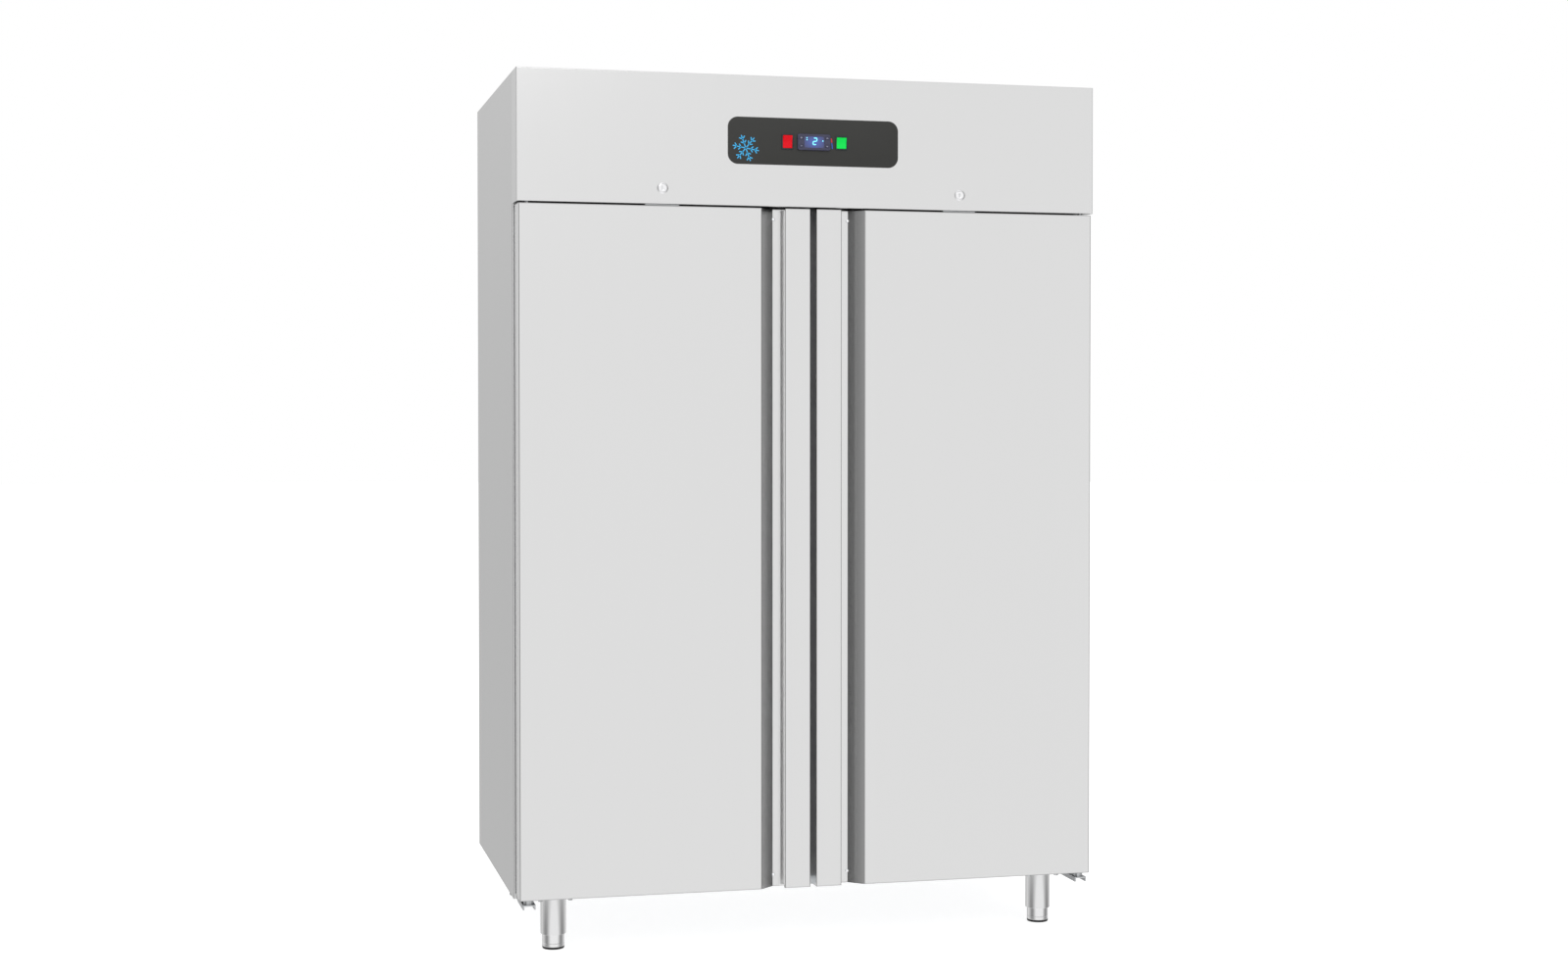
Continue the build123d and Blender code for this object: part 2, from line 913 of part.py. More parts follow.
def lock_end(piece, low):
    """Blocks of the top cap's main part, with a slot between them for the lock's cam."""
    slot = cam_slot_cutter(door_top - cam_entry - cam_slot_clearance, door_top).bounding_box()
    near, far = slot.min, slot.max
    regions = [
        ((door_left, front, low), (near.X, body_front, door_top)),
        ((near.X, front, low), (far.X, body_front, near.Z)),
        ((near.X, front, near.Z), (far.X, near.Y, door_top)),
        ((near.X, far.Y, near.Z), (far.X, body_front, door_top)),
        ((far.X, front, low), (door_right, body_front, door_top)),
    ]
    return [piece & block(*region) for region in regions]


def door_caps():
    """Top and bottom ends of the left door, in blocks, with the hinge bores and the lock's slot."""
    bore = hinge_pin_radius + hinge_clearance
    bore_depth = hinge_pin_reach + hinge_pocket_spare
    bottom = core_blocks(door_bottom, door_bottom + cap_height)
    bottom[0] -= rod((pin_x, pin_y, door_bottom), (pin_x, pin_y, door_bottom + bore_depth), bore)
    top = core_blocks(door_top - cap_height, door_top)
    top[0] -= rod((pin_x, pin_y, door_top), (pin_x, pin_y, door_top - bore_depth), bore)
    return group([*bottom, *lock_end(top[0], door_top - cap_height), *top[1:]])


# Hinges


def lower_hinge():
    """Left lower hinge: a folded bracket under the body with the pin that carries the door."""
    left = pin_x - bracket_width / 2
    right = pin_x + bracket_width / 2
    corners = [
        (left, body_bottom - bracket_flange),
        (left, body_bottom),
        (right, body_bottom),
        (right, body_bottom - bracket_flange),
    ]
    section = Plane.XZ * folded_section(corners, bracket_sheet, [0, 0], RIGHT)
    tip = front + bracket_front_gap
    end = body_front + bracket_under_body
    bracket = Pos(0, end, 0) * extrude(section, end - tip)
    taper = make_face(
        Polyline(
            (end - bracket_taper, body_bottom - bracket_flange),
            (end, body_bottom - bracket_sheet),
            (end, body_bottom - bracket_flange),
            close=True,
        ).edges()
    )
    bracket -= extrude(Plane.YZ * taper, width, both=True)
    collar_top = door_bottom - seal_clearance
    foot = body_bottom - bracket_sheet
    collar = prism(
        (pin_x, pin_y, foot), (pin_x, pin_y, collar_top), hinge_collar_radius, motor_sides
    )
    pin_top = door_bottom + hinge_pin_reach
    pin = rod((pin_x, pin_y, foot), (pin_x, pin_y, pin_top), hinge_pin_radius)
    return bracket + collar + pin


def upper_hinge():
    """Left upper hinge: an angle bracket behind the fascia with a pin down into the door."""
    shelf = fascia_bottom + sheet
    corners = [
        (front + 2 * (bend + sheet), shelf),
        (body_front, shelf),
        (body_front, shelf + upper_bracket_height),
    ]
    section = Plane.YZ * folded_section(corners, bracket_sheet, [0], LEFT)
    bracket = Pos(pin_x, 0, 0) * extrude(section, upper_bracket_width / 2, both=True)
    pin_end = door_top - hinge_pin_reach
    pin = rod((pin_x, pin_y, shelf + bracket_sheet), (pin_x, pin_y, pin_end), hinge_pin_radius)
    return bracket + pin


# Legs and feet


def leg_places():
    """Middle of each leg, named by where it stands."""
    places = {}
    for side_name, x in (("left", -half + leg_side), ("right", half - leg_side)):
        places[f"front_{side_name}"] = (x, front + leg_front)
        places[f"rear_{side_name}"] = (x, front + leg_rear)
    return places


def leg_tube(x, y):
    """Round leg with its fixing plate on top and a nut plate inside."""
    plate_bottom = body_bottom - leg_plate_thickness
    plate = block(
        (x - leg_plate / 2, y - leg_plate / 2, plate_bottom),
        (x + leg_plate / 2, y + leg_plate / 2, body_bottom),
    )
    tube = prism((x, y, leg_exposed), (x, y, plate_bottom), leg_radius, leg_sides)
    inside = leg_radius - leg_wall
    tube -= prism((x, y, leg_exposed), (x, y, plate_bottom), inside, tube_sides)
    nut_top = plate_bottom - leg_nut_below_plate
    nut = prism((x, y, nut_top - leg_nut_height), (x, y, nut_top), inside, tube_sides)
    hole = corner_radius(foot_stem_radius + foot_stem_clearance, stem_sides)
    nut -= prism((x, y, nut_top - leg_nut_height), (x, y, nut_top), hole, stem_sides)
    return plate + tube + nut


def foot_sleeve(x, y):
    """Screw-in foot: a sleeve that shows under the leg, with its threaded stem above."""
    sleeve = prism((x, y, foot_pad_height), (x, y, foot_sleeve_top), foot_radius, leg_sides)
    stem = prism((x, y, foot_sleeve_top), (x, y, foot_stem_top), foot_stem_radius, stem_sides)
    return sleeve + stem


def foot_pad(x, y):
    """Rubber pad under a foot, slightly narrower at the floor."""
    levels = [(foot_radius - foot_pad_taper, 0), (foot_radius, foot_pad_height)]
    return Pos(x, y, 0) * turned(levels, leg_sides)


# Shelves


def post(x_back, y, facing, bottom, top):
    """Upright channel whose open side faces the wall, with a slot behind each runner."""
    face_x = x_back + facing * post_depth
    corners = [
        (x_back, y - post_width / 2),
        (face_x, y - post_width / 2),
        (face_x, y + post_width / 2),
        (x_back, y + post_width / 2),
    ]
    section = folded_section(corners, post_sheet, [0, 0], LEFT if facing > 0 else RIGHT)
    solid = Pos(0, 0, bottom) * extrude(section, top - bottom)
    for level in shelf_heights():
        z = level - post_slot_drop - post_slot_height
        solid -= block(
            (face_x - 2 * post_sheet, y - post_slot_width / 2, z),
            (face_x + 2 * post_sheet, y + post_slot_width / 2, z + post_slot_height),
        )
    return solid


def shelf_posts():
    """Eight posts: four against the side walls and four back to back in the middle."""
    front_y = body_front + post_front_inset
    back_y = cavity_back - post_back_inset
    wall_foot = cavity_bottom + cove_radius + sheet
    under_cover = cavity_top - evaporator_height - evaporator_fall - post_gap
    pieces = []
    for y in (front_y, back_y):
        pieces += both_sides(post(-cavity_half, y, LEFT, wall_foot, under_cover))
    pieces += both_sides(post(0, front_y, RIGHT, cavity_bottom, cavity_top))
    pieces += both_sides(post(0, back_y, RIGHT, cavity_bottom, under_cover))
    return group(pieces)


def section_span():
    """Inner faces of the posts on both sides of the left food section."""
    return -cavity_half + post_depth, -post_depth


def runner(x, facing, z):
    """Angle runner on the posts, with a ledge for a shelf."""
    corners = [
        (x, z + runner_height),
        (x, z),
        (x + facing * runner_ledge, z),
    ]
    section = folded_section(corners, runner_sheet, [0], LEFT if facing > 0 else RIGHT)
    run = cavity_back - runner_back_gap - frame_back - post_gap
    return Pos(0, cavity_back - runner_back_gap, 0) * extrude(Plane.XZ * section, run)


def shelf_heights():
    """Underside of the runner at each shelf level."""
    return [runner_z + level * shelf_pitch for level in range(shelf_levels)]


def shelf_runners():
    """Twelve equal runners, a facing pair for each shelf."""
    low_x, high_x = section_span()
    pieces = []
    for z in shelf_heights():
        pieces += both_sides(runner(low_x, LEFT, z))
        pieces += both_sides(runner(high_x, RIGHT, z))
    return group(pieces)


def wire_shelf(z):
    """One wire shelf of the left section: a rim with wires from front to back."""
    low_x, high_x = section_span()
    left = low_x + shelf_side_gap
    shelf_width = high_x - shelf_side_gap - left
    low_z = z + runner_sheet
    shelf = block(
        (left, shelf_front, low_z),
        (left + shelf_width, shelf_front + shelf_depth, low_z + shelf_rim),
    )
    gap = (shelf_width - 2 * shelf_rim - shelf_wires * shelf_wire) / (shelf_wires + 1)
    for step in range(shelf_wires + 1):
        x = left + shelf_rim + step * (gap + shelf_wire)
        shelf -= block(
            (x, shelf_front + shelf_rim, low_z),
            (x + gap, shelf_front + shelf_depth - shelf_rim, low_z + shelf_rim),
        )
    return shelf


def wire_shelves():
    """Six equal wire shelves, three in each section."""
    return group([copy for z in shelf_heights() for copy in both_sides(wire_shelf(z))])


# Fans


def blade_ring(chord, pitch, radius):
    """Six corners of a blade's cambered section at one radius, seen along the blade."""
    rise = chord * fan_camber
    upper = [(-chord / 2, 0), (0, rise), (chord / 2, 0)]
    lower = [(x, z - fan_blade_thickness) for x, z in reversed(upper)]
    turn = radians(pitch)
    ring = []
    for x, z in upper + lower:
        ring.append(Vector(radius, x * cos(turn) - z * sin(turn), x * sin(turn) + z * cos(turn)))
    return ring


def fan_wheel(tip_radius):
    """Axial fan about the Z axis: a hub with a hollow tail and twisted, cambered blades."""
    top = fan_hub_length / 2
    hub = turned(
        [(fan_hub_radius, -top), (fan_hub_radius, top - fan_nose), (fan_hub_radius - fan_nose, top)],
        fan_sides,
    )
    hub -= prism((0, 0, -top), (0, 0, 0), fan_hub_radius / 2, small_sides)
    hub -= rod((0, 0, 0), (0, 0, fan_shaft_grip), fan_shaft_radius + fan_shaft_clearance)
    chord = fan_tip_chord * tip_radius / evaporator_fan_radius
    root_radius = fan_hub_radius - fan_root_sink
    reach = (tip_radius**2 - (chord / 2) ** 2) ** 0.5
    rings = []
    for share in (0, 1 / 2, 1):
        rings.append(
            blade_ring(
                fan_root_chord + share * (chord - fan_root_chord),
                fan_root_pitch + share * (fan_tip_pitch - fan_root_pitch),
                root_radius + share * (reach - root_radius),
            )
        )
    blade = flat_sided(rings)
    wheel = hub
    for step in range(fan_blades):
        wheel += Rot(0, 0, step * 360 / fan_blades) * blade
    return wheel


def evaporator_fan(x):
    """Evaporator fan wheel behind its hole in the cover, blowing towards the doors."""
    radius = evaporator_fan_radius - fan_tip_gap
    return Pos(x, evaporator_fan_y, evaporator_fan_z) * Rot(90, 0, 0) * fan_wheel(radius)


def condenser_fan():
    """Condenser fan wheel in the shroud's ring, blowing over the compressor."""
    radius = shroud_ring_radius - fan_tip_gap
    return Pos(condenser_fan_x, condenser_y, condenser_fan_z) * Rot(0, -90, 0) * fan_wheel(radius)


def fan_motor(reach):
    """Motor along Z behind a fan wheel, on a strap that reaches its support towards -Y."""
    start = fan_hub_length / 2 + motor_gap
    end = start + motor_length
    shoulder = end - motor_lead_in
    levels = [(motor_radius, start), (motor_radius, shoulder), (motor_radius - motor_lead_in, end)]
    shaft = prism((0, 0, -fan_shaft_grip), (0, 0, start), fan_shaft_radius, small_sides)
    strap = block(
        (-motor_strap_width / 2, -reach, shoulder - motor_strap_thickness),
        (motor_strap_width / 2, 0, shoulder),
    )
    return turned(levels, motor_sides) + strap + shaft


# Evaporator unit


def evaporator_section(thickness):
    """Section, along Y and Z, of the evaporator cover's inside or outside."""
    low = cavity_top - evaporator_height
    outline = Polyline(
        (evaporator_front + thickness, cavity_top),
        (evaporator_front + thickness, low + thickness),
        (evaporator_back - thickness, low - evaporator_fall + thickness),
        (evaporator_back - thickness, cavity_top),
        close=True,
    )
    return Plane.YZ * make_face(outline.edges())


def evaporator_cover():
    """Folded cover under the ceiling: fan holes in front, a sloping drip pan with intake slots."""
    cover = extrude(evaporator_section(0), evaporator_half_width, both=True)
    cover -= extrude(
        evaporator_section(evaporator_sheet), evaporator_half_width - evaporator_sheet, both=True
    )
    for x in (-evaporator_fan_x, evaporator_fan_x):
        hole_start = (x, evaporator_front - sheet, evaporator_fan_z)
        hole_end = (x, evaporator_front + 2 * evaporator_sheet, evaporator_fan_z)
        cover -= prism(hole_start, hole_end, evaporator_fan_radius, fan_sides)
    pitch = 2 * evaporator_half_width / intake_slots
    for step in range(intake_slots):
        x = -evaporator_half_width + pitch * (step + 1 / 2)
        y = evaporator_back - intake_from_back
        cover -= block(
            (x - intake_slot_width / 2, y - intake_slot_length, cavity_top - evaporator_height - evaporator_fall),
            (x + intake_slot_width / 2, y, cavity_top - evaporator_height + evaporator_sheet),
        )
    return cover


def fin_pack(length, across, up, fins, fin_width, core):
    """Block of upright fins on a solid core, its length along X, standing on the origin's level."""
    pitch = (length - fin_width) / (fins - 1)
    pack = Pos(0, 0, up / 2) * Box(length, core, up)
    for step in range(fins):
        x = -length / 2 + fin_width / 2 + step * pitch
        pack += Pos(x, 0, up / 2) * Box(fin_width, across, up)
    return pack


def evaporator_coil():
    """Finned evaporator coil hung from the ceiling above the drip pan, behind the fans."""
    length = 2 * (evaporator_half_width - evaporator_sheet - evaporator_coil_margin)
    depth_here = evaporator_coil_depth
    coil = fin_pack(
        length,
        depth_here,
        evaporator_coil_height,
        evaporator_fins,
        evaporator_fin_width,
        depth_here / 2,
    )
    y = evaporator_fan_y + evaporator_coil_behind_fans + depth_here / 2
    z = cavity_top - evaporator_coil_height
    return Pos(0, y, z) * coil


# Condensing unit


def condenser_coil():
    """Finned condenser standing on the deck."""
    pack = fin_pack(
        condenser_length,
        condenser_thickness,
        condenser_height,
        condenser_fins,
        condenser_fin_width,
        condenser_core,
    )
    return Pos(condenser_x, condenser_y, deck_z + sheet) * Rot(0, 0, 90) * pack


def fan_shroud():
    """Sheet box on the condenser that leads the air to the fan's ring."""
    low = (
        condenser_x + condenser_thickness / 2,
        condenser_y - condenser_length / 2,
        deck_z + sheet,
    )
    high = (
        low[0] + shroud_depth,
        condenser_y + condenser_length / 2,
        deck_z + sheet + condenser_height,
    )
    box = block(low, high) - block(
        (low[0], low[1] + shroud_sheet, low[2] + shroud_sheet),
        (high[0] - shroud_sheet, high[1] - shroud_sheet, high[2] - shroud_sheet),
    )
    centre = (condenser_y, condenser_fan_z)
    ring_start = high[0] - shroud_sheet
    ring_end = high[0] + shroud_ring_depth
    outside = shroud_ring_radius + shroud_ring_wall
    ring = prism((ring_start, *centre), (ring_end, *centre), outside, fan_sides)
    hole = prism((low[0], *centre), (ring_end, *centre), shroud_ring_radius, fan_sides)
    return box + ring - hole


def fan_motors():
    """Three equal fan motors on their straps."""
    pieces = []
    for x in (-evaporator_fan_x, evaporator_fan_x):
        place = Pos(x, evaporator_fan_y, evaporator_fan_z) * Rot(-90, 0, 0)
        pieces.append(place * fan_motor(evaporator_fan_drop))
    condenser = Rot(0, 90, 0) * Rot(0, 0, 90) * fan_motor(condenser_height / 2)
    pieces.append(Pos(condenser_fan_x, condenser_y, condenser_fan_z) * condenser)
    return group(pieces)


def compressor():
    """Sealed compressor: two deep-drawn shells with a seam, a foot plate and a terminal box."""
    seam = compressor_height / 2
    dome_foot = compressor_height - compressor_dome
    dome_middle = compressor_height - compressor_dome / 3
    shell = turned(
        [
            (compressor_radius * compressor_base_width, 0),
            (compressor_radius, compressor_base_rise),
            (compressor_radius, dome_foot),
            (compressor_radius * compressor_dome_shoulder, dome_middle),
            (compressor_radius * compressor_dome_top, compressor_height),
        ],
        can_sides,
    )
    rim_top = seam + compressor_seam_height
    shell += prism((0, 0, seam), (0, 0, rim_top), compressor_radius + compressor_seam, can_sides)
    reach = compressor_foot_span / 2 + compressor_foot_width / 2
    arm_half = compressor_foot_width / 2
    feet = block((-reach, -arm_half, 0), (reach, arm_half, compressor_foot_sheet))
    feet += Rot(0, 0, 90) * feet
    feet = Rot(0, 0, 45) * feet
    for place in grommet_places():
        hole = corner_radius(grommet_neck, small_sides)
        feet -= prism((*place, 0), (*place, compressor_foot_sheet), hole, small_sides)
    box_x = compressor_radius - compressor_seam
    box = block(
        (box_x, -terminal_box_width / 2, seam - terminal_box_height),
        (box_x + terminal_box_depth, terminal_box_width / 2, seam - sheet),
    )
    return Pos(compressor_x, compressor_y, compressor_z) * (shell + feet + box)


def grommet_places():
    """Middle of each grommet, seen from the compressor's axis."""
    reach = compressor_foot_span / 2
    turned = reach * sin(pi / 4)
    return [(x, y) for x in (-turned, turned) for y in (-turned, turned)]


def compressor_grommets():
    """Four rubber grommets between the compressor's feet and the deck."""
    pieces = []
    for x, y in grommet_places():
        at = (compressor_x + x, compressor_y + y)
        low = (*at, deck_z + sheet)
        grommet = prism(low, (*at, compressor_z), grommet_radius, small_sides)
        neck_top = compressor_z + compressor_foot_sheet + sheet
        neck = prism((*at, compressor_z), (*at, neck_top), grommet_neck, small_sides)
        pieces.append(grommet + neck)
    return group(pieces)


def pipe_run(points, radius):
    """Pipe along straight runs with mitred corners."""
    path = Polyline(*points)
    start = Vector(*points[0])
    along = Vector(*points[1]) - start
    section = Plane(start, z_dir=along) * RegularPolygon(radius, pipe_sides)
    return sweep(section, path=path, transition=Transition.RIGHT)


def refrigerant_pipes():
    """Suction pipe from the food space, discharge pipe to the condenser, and the filter drier."""
    top = compressor_z + compressor_height
    high = compressor_z + compressor_height * 2 / 3
    suction_y = compressor_y + compressor_radius + suction_reach
    suction = pipe_run(
        [
            (compressor_x, suction_y, deck_z + sheet),
            (compressor_x, suction_y, high),
            (compressor_x, compressor_y + compressor_radius, high),
        ],
        suction_radius,
    )
    run_y = condenser_y - condenser_length / 2 + condenser_tube_inset
    run_z = height - pipe_top_gap
    discharge = pipe_run(
        [
            (compressor_x, compressor_y, top),
            (compressor_x, compressor_y, run_z),
            (compressor_x, run_y, run_z),
            (condenser_x, run_y, run_z),
            (condenser_x, run_y, deck_z + sheet + condenser_height),
        ],
        pipe_radius,
    )
    levels = [
        (pipe_radius, 0),
        (pipe_radius, drier_neck),
        (drier_radius, 2 * drier_neck),
        (drier_radius, drier_length - 2 * drier_neck),
        (pipe_radius, drier_length - drier_neck),
        (pipe_radius, drier_length),
    ]
    drier_x = condenser_x + shroud_depth
    drier_y = condenser_y + condenser_length / 2 + 2 * drier_radius
    drier_z = deck_z + sheet + drier_radius
    drier = Pos(drier_x, drier_y, drier_z) * Rot(0, 90, 0) * turned(levels, small_sides)
    return group([suction, discharge, drier])


def electrical_box():
    """Wiring box on the deck, whose gland takes the mains lead through the back panel."""
    low = (
        electrical_x - electrical_width / 2,
        electrical_back - electrical_depth,
        deck_z + sheet,
    )
    high = (
        electrical_x + electrical_width / 2,
        electrical_back,
        deck_z + sheet + electrical_height,
    )
    box = block(low, high)
    mouth = Plane((electrical_x, electrical_back, gland_z), z_dir=(0, 1, 0))
    gland = extrude(mouth * RegularPolygon(gland_radius, gland_sides), gland_length)
    return box + gland - extrude(mouth * Circle(gland_bore), gland_length)


# Whole cabinet


def build_parts():
    """Every piece of the cabinet under its own name."""
    side = side_panel()
    sides = both_sides(side)
    base = tray(body_bottom, base_flange, sides)
    parts = {
        "side_panel_left": sides[0],
        "side_panel_right": sides[1],
        "back_panel": back_panel(),
        "base_panel": base,
        "machine_deck": tray(deck_z, deck_flange, sides),
        "insulation_foam": insulation_foam([*sides, base]),
        "inner_liner": inner_liner(),
        "door_frame": door_frame(),
        "fascia_panel": fascia_panel(),
        "control_plate": control_plate(),
        "thermostat_housing": thermostat_housing(),
        "display_window": display_window(),
        "switch_frames": group(
            [
                switch_frame(red_switch_x, red_rocker_width, red_rocker_height),
                switch_frame(green_switch_x, green_rocker_width, green_rocker_height),
            ]
        ),
        "red_rocker": rocker(red_switch_x, red_rocker_width, red_rocker_height),
        "green_rocker": rocker(green_switch_x, green_rocker_width, green_rocker_height),
        "lock_barrels": group(both_sides(lock_barrel())),
        "upper_hinges": group(both_sides(upper_hinge())),
        "lower_hinges": group(both_sides(lower_hinge())),
        "leg_tubes": group([leg_tube(x, y) for x, y in leg_places().values()]),
        "shelf_posts": shelf_posts(),
        "shelf_runners": shelf_runners(),
        "wire_shelves": wire_shelves(),
        "evaporator_cover": evaporator_cover(),
        "evaporator_coil": evaporator_coil(),
        "evaporator_fan_left": evaporator_fan(-evaporator_fan_x),
        "evaporator_fan_right": evaporator_fan(evaporator_fan_x),
        "fan_motors": fan_motors(),
        "condenser_coil": condenser_coil(),
        "fan_shroud": fan_shroud(),
        "condenser_fan": condenser_fan(),
        "compressor": compressor(),
        "compressor_grommets": compressor_grommets(),
        "refrigerant_pipes": refrigerant_pipes(),
        "electrical_box": electrical_box(),
    }
    key_names = ["upper_left", "upper_right", "lower_left", "lower_right"]
    for name, (x, z) in zip(key_names, keypad_places()):
        parts[f"key_{name}"] = keypad_key(x, z)
    for name, (x, y) in leg_places().items():
        parts[f"foot_sleeve_{name}"] = foot_sleeve(x, y)
        parts[f"foot_pad_{name}"] = foot_pad(x, y)
    left_door = {
        "lock_plug": lock_plug(),
        "door_skin": door_skin(),
        "grip_profile": grip_profile(),
        "door_foam": door_foam(),
        "door_panel": door_panel(),
        "door_gasket": door_gasket(),
        "door_caps": door_caps(),
    }
    for name, piece in left_door.items():
        left, right = both_sides(piece)
        parts[f"{name}_left"] = left
        parts[f"{name}_right"] = right
    return parts


os.makedirs("parts", exist_ok=True)
for node, shape in build_parts().items():
    export_step(shape, f"parts/{node}.step")
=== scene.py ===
"""Visual model of an upright two-door refrigerator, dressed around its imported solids.

Surfaces are worked out in millimetres in the frame of the solids, X to the right, Y towards the back
and Z up, and piece() turns them into metres.
"""

import logging
import math
from dataclasses import dataclass, field
from enum import Enum
from functools import cache

import bpy
import numpy as np
from mathutils import Matrix, Vector


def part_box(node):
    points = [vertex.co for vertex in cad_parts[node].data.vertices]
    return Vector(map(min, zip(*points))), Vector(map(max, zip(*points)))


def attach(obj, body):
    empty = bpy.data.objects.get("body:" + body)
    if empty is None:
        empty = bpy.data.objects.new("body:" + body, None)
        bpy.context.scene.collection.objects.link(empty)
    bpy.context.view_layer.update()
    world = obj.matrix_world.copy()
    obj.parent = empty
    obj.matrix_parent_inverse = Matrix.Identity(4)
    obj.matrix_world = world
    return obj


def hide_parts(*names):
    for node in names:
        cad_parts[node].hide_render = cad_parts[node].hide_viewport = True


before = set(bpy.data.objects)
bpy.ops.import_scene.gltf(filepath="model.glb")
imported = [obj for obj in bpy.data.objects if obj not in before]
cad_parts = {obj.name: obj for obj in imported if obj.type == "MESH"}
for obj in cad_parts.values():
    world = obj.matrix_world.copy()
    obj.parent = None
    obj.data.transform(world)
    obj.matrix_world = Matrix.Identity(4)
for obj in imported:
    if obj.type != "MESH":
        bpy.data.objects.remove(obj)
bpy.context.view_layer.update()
log = logging.getLogger("refrigerator")

Tree = bpy.types.NodeTree
Socket = bpy.types.NodeSocket

MM = 0.001
FACING_FRONT = Matrix.Rotation(math.pi / 2, 4, "X")
FACING_BACK = Matrix.Rotation(-math.pi / 2, 4, "X")
FACING_RIGHT = Matrix.Rotation(math.pi / 2, 4, "Y")
FACING_DOWN = Matrix.Rotation(math.pi, 4, "X")
FACING_UP = Matrix.Identity(4)
SKEW = np.array([0.53, 0.61, 0.59])


class Side(Enum):
    """Side of the refrigerator, as in the names of its bodies."""

    LEFT = "left"
    RIGHT = "right"


def box_of(node: str) -> tuple:
    """Returns a solid's lowest and highest corners at rest, in millimetres."""
    low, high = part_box(node)
    return np.array(low) / MM, np.array(high) / MM


def at(x: float, y: float, z: float, facing: Matrix = FACING_FRONT) -> Matrix:
    """Returns the matrix that turns a surface to a facing and moves it to a point."""
    return Matrix.Translation((x, y, z)) @ facing


# Surfaces


@dataclass(frozen=True)
class Surface:
    """Points with the faces between them.

    Args:
        points: One row of X, Y and Z for each point.
        quads: One row of four point numbers for each face.
        caps: Point numbers of each face with more or fewer corners.
    """

    points: np.ndarray
    quads: np.ndarray
    caps: tuple = ()

    def placed(self, matrix: Matrix) -> "Surface":
        """Returns the surface turned and moved by a rigid matrix: p' = M p."""
        turn = np.array(matrix.to_3x3())
        return Surface(self.points @ turn.T + np.array(matrix.translation), self.quads, self.caps)

    def moved(self, x: float = 0.0, y: float = 0.0, z: float = 0.0) -> "Surface":
        """Returns the surface shifted by a vector."""
        return Surface(self.points + np.array([x, y, z]), self.quads, self.caps)

    def repeated(self, offsets: np.ndarray) -> "Surface":
        """Copies of the surface, one at each offset.

        Args:
            offsets: One row of X, Y and Z for each copy.
        Returns:
            All copies as one surface.
        """
        offsets = np.atleast_2d(np.asarray(offsets, float))
        count, size = len(offsets), len(self.points)
        points = (self.points[None] + offsets[:, None]).reshape(-1, 3)
        shift = np.arange(count) * size
        quads = (self.quads[None] + shift[:, None, None]).reshape(-1, 4)
        caps = tuple(tuple(i + s for i in cap) for s in shift for cap in self.caps)
        return Surface(points, quads, caps)

    def mirrored(self) -> "Surface":
        """Returns the mirror image across the middle plane, with its faces turned back outwards."""
        caps = tuple(tuple(reversed(cap)) for cap in self.caps)
        return Surface(self.points * np.array([-1.0, 1.0, 1.0]), self.quads[:, ::-1], caps)

    def both_sides(self) -> "Surface":
        """Returns the surface and its mirror image."""
        return joined([self, self.mirrored()])

    def handed(self, side: Side) -> "Surface":
        """Returns the surface, which is the left side's, or its mirror image for the right side."""
        return self if side is Side.LEFT else self.mirrored()

    def mesh(self, name: str) -> bpy.types.Mesh:
        """Returns a new mesh of the surface, in metres."""
        mesh = bpy.data.meshes.new(name)
        faces = [*self.quads.tolist(), *[list(map(int, cap)) for cap in self.caps]]
        mesh.from_pydata((self.points * MM).tolist(), [], faces)
        return mesh


def joined(parts: list) -> Surface:
    """Puts surfaces together by shifting their point numbers.

    Args:
        parts: The surfaces.
    Returns:
        One surface of them all.
    """
    starts = np.cumsum([0] + [len(part.points) for part in parts])
    caps = tuple(tuple(i + s for i in cap) for part, s in zip(parts, starts) for cap in part.caps)
    return Surface(
        np.concatenate([part.points for part in parts]),
        np.concatenate([part.quads + s for part, s in zip(parts, starts)]),
        caps,
    )


def grid(points: np.ndarray, wrap_rows: bool = False, cap: bool = True) -> Surface:
    """Quads between neighbours of a grid whose columns close on themselves.

    Args:
        points: Array of rows by columns by 3; rows climb while columns turn to the left.
        wrap_rows: Whether the last row joins the first, as in a ring.
        cap: Whether open first and last rows are closed by one face each.
    Returns:
        The closed surface.
    """
    rows, columns = points.shape[:2]
    row = np.arange(rows if wrap_rows else rows - 1)[:, None]
    column = np.arange(columns)[None]
    after_row, after_column = (row + 1) % rows, (column + 1) % columns
    corners = [
        row * columns + column,
        row * columns + after_column,
        after_row * columns + after_column,
        after_row * columns + column,
    ]
    quads = np.stack(corners, -1).reshape(-1, 4)
    caps = ()
    if cap and not wrap_rows:
        first = tuple(range(columns - 1, -1, -1))
        caps = (first, tuple((rows - 1) * columns + i for i in range(columns)))
    return Surface(points.reshape(-1, 3), quads, caps)


def turned(profile: list, flats: int = 48, ring: bool = False) -> Surface:
    """Surface of revolution: (r, z) goes to (r cos t, r sin t, z) for t round the Z axis.

    Args:
        profile: Radius and height of each point, climbing on the outside.
        flats: Faces round the axis.
        ring: Whether the profile closes on itself.
    Returns:
        The turned surface.
    """
    r, z = np.array(profile, float).T
    t = np.linspace(0, 2 * math.pi, flats, endpoint=False)
    x, y = r[:, None] * np.cos(t), r[:, None] * np.sin(t)
    return grid(np.stack([x, y, np.broadcast_to(z[:, None], x.shape)], -1), wrap_rows=ring)


